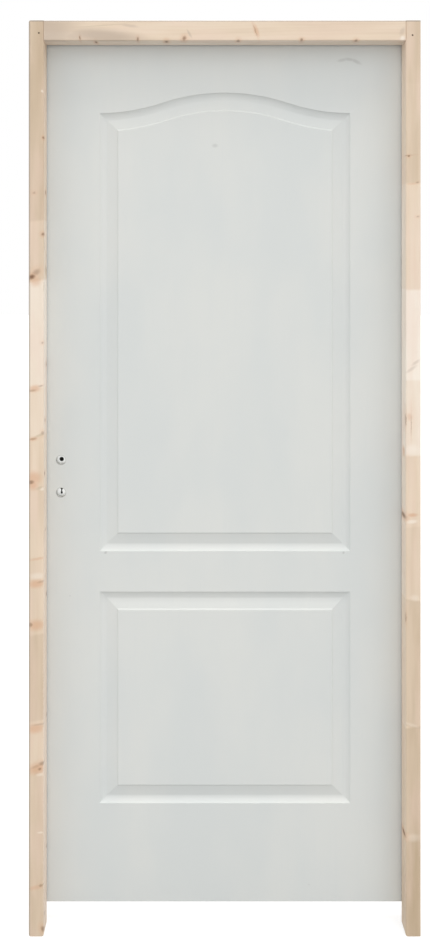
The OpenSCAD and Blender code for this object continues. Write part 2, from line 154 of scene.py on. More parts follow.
def leaf_mark(kind, height, across, half_length, half_height, tilt, strength, reach=PAINT_REACH):
    """A mark on the leaf's push face."""
    return Mark(kind, (across, LEAF_LOW.y, height), (half_length, reach, half_height), tilt, strength)


# The lower part of the lock jamb's side, painted paler and warmer as painted light where the light falls on
# it: its middle and half sizes.
LOCK_REVEAL_PAINTED_LIGHT = ((LOCK_STOP_X, PUSH_Y + 0.022, 0.38), (0.002, 0.08, 0.60))

LOCK_JAMB_MARKS = (
    face_mark("pale", 1.961, -0.8786, 0.003, 0.004, 30, 0.8),
    face_mark("knot", 1.853, -0.8755, 0.003, 0.003, 0, 0.8),
    reveal_mark("knot", 1.728, LOCK_STOP_X, 0.030, 0.006, 0.7),
    face_mark("knot", 1.725, -0.897, 0.004, 0.003, 10, 0.35),
    face_mark("knot", 1.629, -0.877, 0.004, 0.004, 20, 0.7),
    face_mark("resin", 1.580, -0.8735, 0.0012, 0.050, 3, 0.6),
    face_mark("resin", 1.515, -0.8745, 0.0014, 0.022, -6, 0.4),
    reveal_mark("resin", 1.545, LOCK_STOP_X, 0.030, 0.014, 0.5),
    face_mark("knot", 1.530, -0.903, 0.009, 0.006, 20, 1.0),
    face_mark("knot", 1.541, -0.892, 0.010, 0.007, 35, 0.45),
    face_mark("warm", 1.520, -0.894, 0.014, 0.014, 0, 0.8),
    face_mark("knot", 1.377, -0.878, 0.003, 0.003, 0, 0.35),
    reveal_mark("knot", 1.323, LOCK_STOP_X, 0.040, 0.006, 0.5),
    face_mark("knot", 1.266, -0.902, 0.010, 0.003, 8, 0.35),
    face_mark("warm", 1.271, -0.896, 0.016, 0.009, 10, 1.0),
    face_mark("knot", 1.277, -0.882, 0.006, 0.002, 12, 0.4),
    reveal_mark("knot", 1.195, LOCK_STOP_X, 0.020, 0.005, 0.6),
    face_mark("knot", 1.154, -0.900, 0.009, 0.003, 12, 0.40),
    face_mark("warm", 1.154, -0.899, 0.012, 0.005, 10, 0.9),
    face_mark("resin", 1.163, -0.884, 0.013, 0.0035, 20, 0.5),
    face_mark("knot", 1.168, -0.877, 0.004, 0.005, 0, 0.35),
    reveal_mark("knot", 1.0715, LOCK_STOP_X, 0.014, 0.005, 0.7),
    face_mark("warm", 1.063, -0.898, 0.020, 0.017, 4, 1.0),
    face_mark("knot", 1.0535, -0.905, 0.008, 0.005, 8, 0.75),
    face_mark("warm", 1.048, -0.900, 0.014, 0.014, 0, 1.0),
    face_mark("resin", 1.040, -0.885, 0.010, 0.004, 20, 0.4),
    face_mark("pale", 1.038, -0.8763, 0.008, 0.004, 10, 0.7),
    reveal_mark("knot", 0.937, LOCK_STOP_X, 0.030, 0.005, 0.4),
    face_mark("warm", 0.876, -0.889, 0.022, 0.0035, 10, 0.7),
    face_mark("warm", 0.818, -0.892, 0.022, 0.011, 8, 1.0),
    face_mark("knot", 0.823, -0.880, 0.012, 0.0030, 14, 0.28),
    face_mark("pale", 0.836, -0.890, 0.020, 0.008, 6, 0.5),
    reveal_mark("knot", 0.781, LOCK_STOP_X, 0.042, 0.006, 0.7),
    face_mark("knot", 0.723, -0.906, 0.005, 0.006, 0, 0.6),
    face_mark("warm", 0.722, -0.892, 0.022, 0.014, 8, 1.0),
    face_mark("warm", 0.718, -0.881, 0.010, 0.006, -20, 0.5),
    face_mark("knot", 0.492, -0.884, 0.020, 0.0026, 8, 0.25),
    face_mark("warm", 0.482, -0.894, 0.022, 0.012, 10, 1.0),
    reveal_mark("knot", 0.496, LOCK_STOP_X, 0.042, 0.007, 0.6),
    face_mark("knot", 0.4014, -0.8785, 0.009, 0.005, 20, 0.55),
    face_mark("knot", 0.3886, -0.884, 0.005, 0.0035, 10, 0.6),
    face_mark("warm", 0.390, -0.890, 0.026, 0.015, 18, 1.0),
    face_mark("knot", 0.394, -0.893, 0.016, 0.0035, 20, 0.22),
    face_mark("pale", 0.376, -0.882, 0.012, 0.004, 12, 0.5),
    face_mark("pale", 0.241, -0.882, 0.009, 0.0025, 5, 0.6),
    reveal_mark("knot", 0.1855, LOCK_STOP_X, 0.042, 0.006, 0.7),
    face_mark("knot", 0.118, -0.882, 0.005, 0.0035, 20, 0.5),
    face_mark("knot", 0.121, -0.876, 0.010, 0.0015, 18, 0.4),
    face_mark("warm", 0.114, -0.892, 0.020, 0.006, 14, 0.7),
    reveal_mark("knot", 0.048, LOCK_STOP_X, 0.010, 0.005, 0.6),
    face_mark("knot", 0.0168, -0.8765, 0.005, 0.008, 20, 0.65),
    # Painted light: the lower part of the lock jamb's side is made paler and warmer, as if lit.
    Mark("pale", *LOCK_REVEAL_PAINTED_LIGHT, 0.0, 0.60),
    Mark("warm", *LOCK_REVEAL_PAINTED_LIGHT, 0.0, 0.45),
)
LOCK_JAMB_BLOCKS = (
    Block(1.66, 2.13, -0.892, 0.1, -0.56),
    Block(1.52, 1.66, -0.892, 0.1, -0.20),
    Block(1.27, 1.52, -0.892, 0.2, 0.60),
    Block(1.16, 1.27, -0.892, 0.2, 0.30),
    Block(0.88, 1.04, -0.892, 0.2, -0.13),
    Block(0.70, 0.88, -0.892, 0.2, -0.24),
    Block(0.50, 0.70, -0.892, 0.2, -0.50),
    Block(0.39, 0.50, -0.892, 0.2, -0.20),
    Block(-0.05, 0.39, -0.892, 0.2, -0.38),
)
HINGE_JAMB_MARKS = (
    face_mark("knot", 1.8105, -0.0283, 0.003, 0.0025, 0, 0.8),
    face_mark("knot", 1.812, -0.030, 0.012, 0.001, 4, 0.4),
    face_mark("knot", 1.749, -0.008, 0.004, 0.002, 10, 0.4),
    face_mark("warm", 1.746, -0.018, 0.016, 0.003, 4, 0.5),
    face_mark("knot", 1.670, -0.007, 0.004, 0.002, 10, 0.35),
    face_mark("grey", 1.331, -0.012, 0.012, 0.004, 36, 0.5),
    face_mark("grey", 1.316, -0.022, 0.016, 0.004, 36, 0.45),
    face_mark("knot", 1.199, -0.0345, 0.0012, 0.016, 0, 0.5),
    face_mark("knot", 1.188, -0.0223, 0.0012, 0.026, 0, 0.35),
    face_mark("pale", 1.129, -0.021, 0.018, 0.014, 0, 0.7),
    face_mark("warm", 1.205, -0.026, 0.008, 0.010, 10, 0.6),
    reveal_mark("warm", 1.122, HINGE_STOP_X, 0.022, 0.014, 1.0),
    reveal_mark("knot", 0.9720, HINGE_STOP_X, 0.024, 0.0065, 0.8, 4.0),
    face_mark("warm", 0.9773, -0.020, 0.014, 0.005, 4, 1.0),
    face_mark("pale", 0.962, -0.021, 0.014, 0.005, 6, 0.8),
    face_mark("pale", 0.785, -0.014, 0.012, 0.008, 0, 0.4),
    face_mark("knot", 0.739, -0.0345, 0.0016, 0.012, 0, 0.35),
    face_mark("pale", 0.491, -0.022, 0.020, 0.004, -18, 0.3),
    reveal_mark("knot", 0.2307, HINGE_STOP_X, 0.020, 0.0055, 0.9, 3.5),
    face_mark("pale", 0.229, -0.019, 0.022, 0.010, 0, 0.35),
)
HINGE_JAMB_BLOCKS = (
    Block(1.98, 2.13, -0.018, 0.0, -0.38),
    Block(1.7472, 1.98, -0.018, 0.0, -0.32),
    Block(1.50, 1.7472, -0.018, 0.05, 0.06),
    Block(1.29, 1.50, -0.018, 0.0, 0.92),
    Block(1.115, 1.29, -0.018, 0.0, 0.55),
    Block(0.78, 0.95, -0.018, 0.1, -0.15),
    Block(0.485, 0.78, -0.018, -0.1, -0.42),
    Block(0.23, 0.485, -0.018, 0.1, -0.62),
    Block(-0.05, 0.23, -0.018, 0.1, -0.72),
)
HEAD_MARKS = (
    face_mark("knot", 2.085, -0.791, 0.0018, 0.0048, 4, 0.9),
    under_mark("knot", -0.755, 0.016, 0.0030, 0.010, 0.9),
    face_mark("grey", 2.089, -0.736, 0.100, 0.018, -5, 1.0),
    face_mark("grey", 2.088, -0.800, 0.050, 0.014, 0, 0.7),
    face_mark("grey", 2.100, -0.880, 0.095, 0.060, 0, 0.9),
    face_mark("resin", 2.113, -0.742, 0.060, 0.0016, 4, 0.35),
    face_mark("grey", 2.1125, -0.675, 0.022, 0.004, -8, 0.5),
    face_mark("knot", 2.0815, -0.6567, 0.0026, 0.0050, 0, 0.7),
    under_mark("knot", -0.5906, 0.012, 0.0045, 0.009, 0.9),
    face_mark("knot", 2.0835, -0.549, 0.0048, 0.0056, -20, 0.75),
    face_mark("grey", 2.094, -0.537, 0.0030, 0.012, 30, 0.7),
    face_mark("warm", 2.101, -0.382, 0.006, 0.018, 20, 0.9),
    face_mark("knot", 2.101, -0.384, 0.0016, 0.016, 20, 0.4),
    under_mark("knot", -0.4236, 0.006, 0.0040, 0.008, 0.7),
    face_mark("knot", 2.0803, -0.2765, 0.0035, 0.0035, 0, 0.7),
    under_mark("knot", -0.150, 0.004, 0.0040, 0.008, 0.7),
    face_mark("pale", 2.0835, -0.0425, 0.007, 0.006, 30, 0.9),
    face_mark("grey", 2.100, -0.043, 0.006, 0.012, -25, 0.5),
)
LEAF_MARKS = (
    leaf_mark("smudge", 2.0440, -0.174, 0.014, 0.0042, 12, 0.9),
    leaf_mark("smudge", 2.0455, -0.158, 0.014, 0.0042, -8, 1.0),
    leaf_mark("smudge", 2.0405, -0.142, 0.015, 0.0046, -26, 1.0),
    leaf_mark("speck", 1.841, -0.4766, 0.0075, 0.0050, 0, 0.5, reach=0.010),
    leaf_mark("speck", 0.773, -0.8205, 0.0022, 0.0020, 0, 0.4),
    leaf_mark("speck", 0.8755, -0.7360, 0.0042, 0.0030, 25, 0.75),
    leaf_mark("speck", 0.8755, -0.1717, 0.0030, 0.0036, -25, 0.70),
    leaf_mark("speck", 0.088, -0.2536, 0.0025, 0.0018, 0, 0.35),
)


class DoorViewSettings(bpy.types.PropertyGroup):
    """Where the door is looked at from."""

    distance: bpy.props.FloatProperty(
        name="Distance", description="From the camera to the middle of the frame's depth",
        default=2.246, min=0.5, unit="LENGTH",
    )
    across: bpy.props.FloatProperty(
        name="Across", description="The camera's place along the door's width",
        default=-0.524, unit="LENGTH",
    )
    height: bpy.props.FloatProperty(
        name="Height", description="The camera's height above the floor",
        default=1.546, min=0.0, unit="LENGTH",
    )
    lens: bpy.props.FloatProperty(
        name="Lens", description="Focal length in millimetres", default=36.38, min=10.0,
    )
    shift_x: bpy.props.FloatProperty(
        name="Shift X", description="Sideways shift of the picture", default=0.0213,
    )
    shift_y: bpy.props.FloatProperty(
        name="Shift Y", description="Upward shift of the picture", default=-0.2125,
    )


class DoorTimberSettings(bpy.types.PropertyGroup):
    """The bare softwood of the frame and of the leaf's stiles."""

    early_color: bpy.props.FloatVectorProperty(
        name="Early Wood", description="Colour of the wide pale part of each ring",
        default=(0.80, 0.655, 0.515), **COLOR,
    )
    late_color: bpy.props.FloatVectorProperty(
        name="Late Wood", description="Colour of the narrow dark part of each ring",
        default=(0.69, 0.50, 0.335), **COLOR,
    )
    pale_color: bpy.props.FloatVectorProperty(
        name="Pale Wood", description="Colour of the palest blocks",
        default=(0.92, 0.83, 0.735), **COLOR,
    )
    deep_color: bpy.props.FloatVectorProperty(
        name="Deep Wood", description="Colour of the deepest blocks",
        default=(0.50, 0.375, 0.248), **COLOR,
    )
    knot_color: bpy.props.FloatVectorProperty(
        name="Knot", description="Colour of a knot's heart",
        default=(0.16, 0.075, 0.035), **COLOR,
    )
    warm_color: bpy.props.FloatVectorProperty(
        name="Knot's Halo", description="Colour of the wood round a knot",
        default=(0.66, 0.36, 0.20), **COLOR,
    )
    resin_color: bpy.props.FloatVectorProperty(
        name="Resin", description="Colour of a resin streak",
        default=(0.42, 0.34, 0.20), **COLOR,
    )
    shade_color: bpy.props.FloatVectorProperty(
        name="Shade", description="Colour of the dull grey-brown patches in the wood",
        default=(0.50, 0.40, 0.32), **COLOR,
    )
    blush_color: bpy.props.FloatVectorProperty(
        name="Blush", description="Colour of the pinker drifts in the wood",
        default=(0.82, 0.62, 0.52), **COLOR,
    )
    # Painted shade: the dark line along the wall-side and top edges, where the rounded arrises turn from the
    # light.
    edge_shade_color: bpy.props.FloatVectorProperty(
        name="Edge Shade", description="Colour of the painted shade along the wall-side and top edges",
        default=(0.33, 0.29, 0.25), **COLOR,
    )
    ring_gap: bpy.props.FloatProperty(
        name="Ring Gap", description="Distance between two growth rings",
        default=0.0032, min=0.001, unit="LENGTH",
    )
    roughness: bpy.props.FloatProperty(
        name="Roughness", description="Roughness of the planed face",
        default=0.62, **FACTOR,
    )


class DoorPaintSettings(bpy.types.PropertyGroup):
    """The primed fibreboard skins."""

    primer_color: bpy.props.FloatVectorProperty(
        name="Primer", description="Colour of the factory primer",
        default=(0.693, 0.702, 0.683), **COLOR,
    )
    cool_color: bpy.props.FloatVectorProperty(
        name="Cool Primer", description="Colour of the primer where it lies thinner",
        default=(0.658, 0.678, 0.670), **COLOR,
    )
    rim_color: bpy.props.FloatVectorProperty(
        name="Drilled Rim", description="Colour of the grubby rims and walls of the drillings",
        default=(0.46, 0.47, 0.45), **COLOR,
    )
    smudge_color: bpy.props.FloatVectorProperty(
        name="Smudge", description="Colour of the faint marks on the primer",
        default=(0.36, 0.36, 0.35), **COLOR,
    )
    board_color: bpy.props.FloatVectorProperty(
        name="Raw Board", description="Colour of the fibreboard where it is cut",
        default=(0.33, 0.22, 0.13), **COLOR,
    )
    peel_size: bpy.props.FloatProperty(
        name="Peel Size", description="Size of the primer's orange peel",
        default=0.0018, min=0.0002, unit="LENGTH",
    )
    roughness: bpy.props.FloatProperty(
        name="Roughness", description="Roughness of the primer",
        default=0.5, **FACTOR,
    )


class DoorMetalSettings(bpy.types.PropertyGroup):
    """Lock, strike plate, hinges and fixings."""

    plated_color: bpy.props.FloatVectorProperty(
        name="Plated Steel", description="Colour of the bright plated parts",
        default=(0.66, 0.66, 0.64), **COLOR,
    )
    case_color: bpy.props.FloatVectorProperty(
        name="Lock Case", description="Colour of the lock's pressed case",
        default=(0.74, 0.75, 0.74), **COLOR,
    )
    hinge_color: bpy.props.FloatVectorProperty(
        name="Hinges", description="Colour of the hinges",
        default=(0.62, 0.62, 0.60), **COLOR,
    )
    # Painted shade: the near-black colour of the plugs that darken the lock's holes, also used round the
    # follower's square hole.
    shade_plug_color: bpy.props.FloatVectorProperty(
        name="Shade Plug", description="Colour of the dark plugs in the lock",
        default=(0.012, 0.012, 0.011), **COLOR,
    )
    nail_color: bpy.props.FloatVectorProperty(
        name="Brads", description="Colour of the brads' heads",
        default=(0.10, 0.075, 0.055), **COLOR,
    )
    plated_roughness: bpy.props.FloatProperty(
        name="Plated Roughness", description="Roughness of the bright plated parts",
        default=0.32, **FACTOR,
    )
    case_roughness: bpy.props.FloatProperty(
        name="Case Roughness", description="Roughness of the lock's pressed case",
        default=0.45, **FACTOR,
    )


class DoorFixingSettings(bpy.types.PropertyGroup):
    """Screws, brads and plugs."""

    screw: bpy.props.FloatProperty(
        name="Screw", description="Diameter of a screw's head", default=0.0077, min=0.004, unit="LENGTH",
    )
    screw_sunk: bpy.props.FloatProperty(
        name="Screw Sunk", description="How far a screw's head lies under the face of its plate",
        default=0.0001, min=0.0, unit="LENGTH",
    )
    hinge_screw_end: bpy.props.FloatProperty(
        name="Hinge Screw End", description="From a hinge plate's ends to the outer screws",
        default=0.014, min=0.005, unit="LENGTH",
    )
    hinge_screw_near: bpy.props.FloatProperty(
        name="Hinge Screw Near", description="From the leaf's pull face to the inner screws of a hinge plate",
        default=0.011, min=0.005, unit="LENGTH",
    )
    hinge_screw_far: bpy.props.FloatProperty(
        name="Hinge Screw Far", description="From the leaf's pull face to the outer screws of a hinge plate",
        default=0.022, min=0.005, unit="LENGTH",
    )
    faceplate_screw_end: bpy.props.FloatProperty(
        name="Faceplate Screw End", description="From the faceplate's ends to its screws",
        default=0.011, min=0.005, unit="LENGTH",
    )
    strike_screw_end: bpy.props.FloatProperty(
        name="Strike Screw End", description="From the strike plate's ends to its screws",
        default=0.009, min=0.005, unit="LENGTH",
    )
    brad: bpy.props.FloatProperty(
        name="Brad", description="Diameter of a brad's sunk head",
        default=0.0042, min=0.001, unit="LENGTH",
    )
    spindle_hole: bpy.props.FloatProperty(
        name="Spindle Hole", description="Width of the plug in the follower's square hole",
        default=0.0066, min=0.004, unit="LENGTH",
    )
    key_head: bpy.props.FloatProperty(
        name="Key Head", description="Width of the keyhole plug's round head",
        default=0.0056, min=0.003, unit="LENGTH",
    )
    key_waist: bpy.props.FloatProperty(
        name="Key Waist", description="Width of the keyhole plug's waist",
        default=0.0022, min=0.001, unit="LENGTH",
    )
    key_foot: bpy.props.FloatProperty(
        name="Key Foot", description="Width of the keyhole plug's foot",
        default=0.0044, min=0.002, unit="LENGTH",
    )
    key_foot_height: bpy.props.FloatProperty(
        name="Key Foot Height", description="Height of the keyhole plug's foot",
        default=0.0046, min=0.002, unit="LENGTH",
    )
    key_rise: bpy.props.FloatProperty(
        name="Key Rise", description="From the middle of the key's drilling up to the keyhole's head",
        default=0.007, min=0.0, unit="LENGTH",
    )
    key_length: bpy.props.FloatProperty(
        name="Key Length", description="From the keyhole's head down to the end of the plug",
        default=0.0123, min=0.005, unit="LENGTH",
    )
    plug_sunk: bpy.props.FloatProperty(
        name="Plug Sunk", description="How far a plug lies under the faces of the lock case",
        default=0.0015, min=0.0, unit="LENGTH",
    )


class DoorStageSettings(bpy.types.PropertyGroup):
    """Floor and lights."""

    floor_size: bpy.props.FloatProperty(
        name="Floor Size", description="Length of the floor's sides", default=60.0, min=2.0, unit="LENGTH",
    )
    floor_color: bpy.props.FloatVectorProperty(
        name="Floor", description="Colour of the floor",
        default=(0.31, 0.31, 0.31), **COLOR,
    )
    floor_lift: bpy.props.FloatProperty(
        name="Floor Lift", description="Light added to the floor as the camera sees it",
        default=0.76, min=0.0,
    )
    sky_color: bpy.props.FloatVectorProperty(
        name="Sky Colour", description="Colour of the soft light from all sides",
        default=(0.975, 0.993, 1.0), **COLOR,
    )
    lamp_color: bpy.props.FloatVectorProperty(
        name="Lamp Colour", description="Colour of the top lights, side lights and lamps",
        default=(1.0, 0.985, 0.955), **COLOR,
    )
    sky_strength: bpy.props.FloatProperty(
        name="Sky", description="Strength of the soft light from all sides", default=0.855, min=0.0,
    )
    top_strength: bpy.props.FloatProperty(
        name="Top Light", description="Strength of the steep light from above, in watts a square metre",
        default=0.88, min=0.0,
    )
    top_height: bpy.props.FloatProperty(
        name="Top Light Height", description="Angle of the top light above the horizon",
        default=math.radians(72), subtype="ANGLE",
    )
    top_turn: bpy.props.FloatProperty(
        name="Top Light Turn", description="Angle of the top light to the right of the door's middle",
        default=math.radians(28), subtype="ANGLE",
    )
    top_softness: bpy.props.FloatProperty(
        name="Top Light Softness", description="Angle that the top light fills in the sky",
        default=math.radians(16), subtype="ANGLE",
    )
    right_strength: bpy.props.FloatProperty(
        name="Right Light", description="Strength of the soft light from the right, in watts a square metre",
        default=0.52, min=0.0,
    )
    left_strength: bpy.props.FloatProperty(
        name="Left Light", description="Strength of the soft light from the left, in watts a square metre",
        default=0.40, min=0.0,
    )
    side_height: bpy.props.FloatProperty(
        name="Side Light Height", description="Angle of the side lights above the horizon",
        default=math.radians(25), subtype="ANGLE",
    )
    side_turn: bpy.props.FloatProperty(
        name="Side Light Turn", description="Angle of the side lights away from the door's middle",
        default=math.radians(60), subtype="ANGLE",
    )
    side_softness: bpy.props.FloatProperty(
        name="Side Light Softness", description="Angle that each side light fills in the sky",
        default=math.radians(40), subtype="ANGLE",
    )
    lamp_power: bpy.props.FloatProperty(
        name="Lamp", description="Power of the lamp before each face of the door, in watts",
        default=72.0, min=0.0,
    )
    lamp_distance: bpy.props.FloatProperty(
        name="Lamp Distance", description="From the lamp before each face to the door",
        default=8.0, min=0.5, unit="LENGTH",
    )
    lamp_height: bpy.props.FloatProperty(
        name="Lamp Height", description="Height of the lamp before each face",
        default=2.0, min=0.0, unit="LENGTH",
    )
    lamp_size: bpy.props.FloatProperty(
        name="Lamp Size", description="Width of the lamp before each face",
        default=2.4, min=0.1, unit="LENGTH",
    )


def add_node(tree, kind, sockets=(), **settings):
    """Adds a shader node, sets its properties, and gives its inputs values or links."""
    node = tree.nodes.new(kind)
    for name, value in settings.items():
        setattr(node, name, value)
    for key, value in dict(sockets).items():
        if isinstance(value, bpy.types.NodeSocket):
            tree.links.new(value, node.inputs[key])
        else:
            node.inputs[key].default_value = value
    return node


def add_group(tree, group, sockets):
    """Adds a node group to a tree, gives its inputs values or links, and returns its outputs."""
    return add_node(tree, "ShaderNodeGroup", sockets, node_tree=group).outputs


def calc(tree, operation, a, b=0.0, c=0.0, clamp=False):
    """A Math node's output."""
    sockets = {0: a, 1: b, 2: c}
    return add_node(tree, "ShaderNodeMath", sockets, operation=operation, use_clamp=clamp).outputs[0]


def vector_calc(tree, operation, a, b=ORIGIN):
    """A Vector Math node's vector."""
    return add_node(tree, "ShaderNodeVectorMath", {0: a, 1: b}, operation=operation).outputs["Vector"]


def measure(tree, operation, a, b=ORIGIN):
    """A Vector Math node's number, such as a length or a distance."""
    return add_node(tree, "ShaderNodeVectorMath", {0: a, 1: b}, operation=operation).outputs["Value"]


def split(tree, vector):
    """The X, Y and Z of a vector."""
    return add_node(tree, "ShaderNodeSeparateXYZ", {0: vector}).outputs


def draw_out(tree, place, share):
    """A place with its height squeezed to a share, which draws a pattern out along Z."""
    return vector_calc(tree, "MULTIPLY", place, (1.0, 1.0, share))


def fade(tree, value, start, end):
    """0 below start and 1 above end, or the other way round where start is the higher."""
    sockets = {"Value": value, "From Min": start, "From Max": end, "To Min": 0.0, "To Max": 1.0}
    return add_node(tree, "ShaderNodeMapRange", sockets, interpolation_type="SMOOTHSTEP").outputs["Result"]


def as_color(value):
    """A colour setting as the four numbers that a socket takes; a socket stays as it is."""
    if isinstance(value, bpy.types.NodeSocket):
        return value
    return (value[0], value[1], value[2], 1.0)


def shaded(color, share):
    """A colour made darker, or paler where the share is over 1."""
    return [part * share for part in color]


def blend(tree, factor, below, above, share=1.0):
    """A colour that goes from below to above, or a share of that way, as factor goes from 0 to 1."""
    if share != 1.0:
        factor = calc(tree, "MULTIPLY", factor, share)
    sockets = {0: factor, 6: as_color(below), 7: as_color(above)}
    return add_node(tree, "ShaderNodeMix", sockets, data_type="RGBA").outputs[2]


def noise(tree, vector, scale, detail=2.0, roughness=0.5):
    """A Noise Texture's value."""
    sockets = {"Vector": vector, "Scale": scale, "Detail": detail, "Roughness": roughness}
    return add_node(tree, "ShaderNodeTexNoise", sockets).outputs["Fac"]


def add_bump(tree, height, distance, strength=1.0):
    """A Bump node's normal."""
    sockets = {"Height": height, "Distance": distance, "Strength": strength}
    return add_node(tree, "ShaderNodeBump", sockets).outputs["Normal"]


def new_group(name, inputs, outputs):
    """A shader node group with the named sockets: the group, what it is given and what it gives."""
    group = bpy.data.node_groups.new(name, "ShaderNodeTree")
    for socket, default in inputs.items():
        kind = "NodeSocketFloat" if isinstance(default, float) else "NodeSocketVector"
        made = group.interface.new_socket(socket, in_out="INPUT", socket_type=kind)
        made.default_value = default
    for socket in outputs:
        group.interface.new_socket(socket, in_out="OUTPUT", socket_type="NodeSocketFloat")
    return group, group.nodes.new("NodeGroupInput").outputs, group.nodes.new("NodeGroupOutput").inputs


def shared_group(name, build):
    """The node group of that name, built when it is first asked for."""
    return bpy.data.node_groups.get(name) or build(name)


def build_mark_group(name):
    """A soft ellipsoid at a place in the wood or on the paint, added to the marks before it."""
    group, given, result = new_group(name, {
        "Position": ORIGIN, "Middle": ORIGIN, "Half Size": (0.01, 0.01, 0.01),
        "Tilt": 0.0, "Strength": 1.0, "Before": 0.0,
    }, ("Mask",))
    away = vector_calc(group, "SUBTRACT", given["Position"], given["Middle"])
    turned = add_node(
        group, "ShaderNodeVectorRotate", {"Vector": away, "Angle": given["Tilt"]}, rotation_type="Y_AXIS",
    ).outputs[0]
    reach = measure(group, "LENGTH", vector_calc(group, "DIVIDE", turned, given["Half Size"]))
    own = calc(group, "MULTIPLY", fade(group, reach, *MARK_EDGE), given["Strength"])
    group.links.new(calc(group, "MAXIMUM", own, given["Before"]), result["Mask"])
    return group


def build_block_group(name):
    """A stretch of timber between two slanting joints, whose tone is added to what comes before."""
    group, given, result = new_group(name, {
        "Position": ORIGIN, "Low": 0.0, "High": 1.0, "Across": 0.0, "Slant": 0.0,
        "Tone": 0.0, "Before": 0.0,
    }, ("Tone",))
    axes = split(group, given["Position"])
    lift = calc(group, "MULTIPLY", calc(group, "SUBTRACT", axes["X"], given["Across"]), given["Slant"])
    height = calc(group, "SUBTRACT", axes["Z"], lift)
    above = fade(group, calc(group, "SUBTRACT", height, given["Low"]), -FINGER_JOINT, FINGER_JOINT)
    below = fade(group, calc(group, "SUBTRACT", height, given["High"]), FINGER_JOINT, -FINGER_JOINT)
    inside = calc(group, "MULTIPLY", above, below)
    tone = calc(group, "MULTIPLY_ADD", inside, given["Tone"], given["Before"])
    group.links.new(tone, result["Tone"])
    return group


def build_grain_group(name):
    """Growth rings, fibres and slow drifts of tone in timber whose grain runs along Z."""
    group, given, result = new_group(
        name, {"Position": ORIGIN, "Pith": ORIGIN, "Ring Gap": 0.003},
        ("Late Wood", "Fibre", "Drift", "Relief"),
    )
    wander = noise(group, draw_out(group, given["Position"], 0.12), scale=7.0)
    away = vector_calc(group, "SUBTRACT", given["Position"], given["Pith"])
    radius = measure(group, "LENGTH", vector_calc(group, "MULTIPLY", away, (1.0, 1.0, 0.0)))
    ring_wander = 0.022
    bent = calc(group, "MULTIPLY_ADD", wander, ring_wander, radius)
    turns = calc(group, "FRACT", calc(group, "DIVIDE", bent, given["Ring Gap"]))
    # Each ring darkens slowly and ends sharply.
    late = calc(group, "MULTIPLY", fade(group, turns, 0.35, 0.86), fade(group, turns, 1.0, 0.9))
    fibre = noise(group, draw_out(group, given["Position"], 0.018), scale=900.0, detail=3.0, roughness=0.6)
    drift = noise(group, draw_out(group, given["Position"], 0.10), scale=38.0)
    ring_height = 0.35
    relief = calc(group, "MULTIPLY_ADD", late, ring_height, fibre)
    for socket, value in (("Late Wood", late), ("Fibre", fibre), ("Drift", drift), ("Relief", relief)):
        group.links.new(value, result[socket])
    return group


def build_brushed_group(name):
    """Fine scratches along one direction, for plated steel."""
    group, given, result = new_group(
        name, {"Position": ORIGIN, "Stretch": (1.0, 1.0, 0.05), "Roughness": 0.35},
        ("Roughness", "Relief", "Dulling"),
    )
    along = vector_calc(group, "MULTIPLY", given["Position"], given["Stretch"])
    scratch = noise(group, along, scale=1800.0, detail=3.0, roughness=0.6)
    cloud = noise(group, given["Position"], scale=60.0, detail=3.0)
    scratch_swing, cloud_swing = 0.12, 0.10
    half_swing = (scratch_swing + cloud_swing) / 2
    spread = calc(group, "MULTIPLY_ADD", scratch, scratch_swing, given["Roughness"])
    roughness = calc(group, "MULTIPLY_ADD", cloud, cloud_swing, calc(group, "SUBTRACT", spread, half_swing))
    group.links.new(roughness, result["Roughness"])
    group.links.new(scratch, result["Relief"])
    group.links.new(fade(group, cloud, 0.45, 0.75), result["Dulling"])
    return group


def new_material(name):
    """A material with a Principled BSDF: the material, its tree and the shader's inputs."""
    material = bpy.data.materials.new(name)
    material.use_nodes = True
    tree = material.node_tree
    tree.nodes.clear()
    shader = tree.nodes.new("ShaderNodeBsdfPrincipled")
    output = tree.nodes.new("ShaderNodeOutputMaterial")
    tree.links.new(shader.outputs["BSDF"], output.inputs["Surface"])
    return material, tree, shader.inputs


def object_position(tree):
    """Object coordinates, which are metres in the door's own frame."""
    return tree.nodes.new("ShaderNodeTexCoord").outputs["Object"]


def chain_marks(tree, position, marks, kind, grow=1.0, strength=None):
    """The mask of all the marks of one kind, each grown by a factor."""
    group = shared_group("Door Mark", build_mark_group)
    if strength is None:
        strength = MARK_STRENGTH[kind]
    mask = 0.0
    for mark in marks:
        if mark.kind != kind:
            continue
        mask = add_group(tree, group, {
            "Position": position,
            "Middle": mark.middle,
            "Half Size": shaded(mark.size, grow),
            "Tilt": math.radians(mark.tilt),
            "Strength": mark.strength * strength,
            "Before": mask,
        })["Mask"]
    return mask


def from_drillings(tree, position):
    """The distance from the axis of the nearest of the leaf's drillings."""
    across = vector_calc(tree, "MULTIPLY", position, (1.0, 0.0, 1.0))
    nearest = 10.0
    for place in DRILLINGS:
        away = measure(tree, "DISTANCE", across, (place.x, 0.0, place.z))
        nearest = calc(tree, "MINIMUM", away, nearest)
    return nearest


def looks_along(tree, part):
    """1 where a face looks straight along an axis, either way, given that part of its normal."""
    return fade(tree, calc(tree, "ABSOLUTE", part), 0.9, 0.95)


def tone_wood(tree, wood, position, drift, painted_side_light, blocks):
    """Makes wood paler or deeper by its slow drifts and its blocks, and paints its sides paler as painted
    light.
    """
    timber = bpy.context.scene.door_timber
    lift = calc(tree, "MULTIPLY_ADD", painted_side_light, PAINTED_SIDE_LIFT, -DRIFT_SWING / 2)
    tone = calc(tree, "MULTIPLY_ADD", drift, DRIFT_SWING, lift)
    group = shared_group("Door Timber Block", build_block_group)
    for block in blocks:
        tone = add_group(tree, group, {
            "Position": position, "Low": block.low, "High": block.high, "Across": block.across,
            "Slant": block.slant, "Tone": block.tone, "Before": tone,
        })["Tone"]
    wood = blend(tree, calc(tree, "MAXIMUM", tone, 0.0), wood, timber.pale_color)
    return blend(tree, calc(tree, "MULTIPLY", tone, -1.0, clamp=True), wood, timber.deep_color)


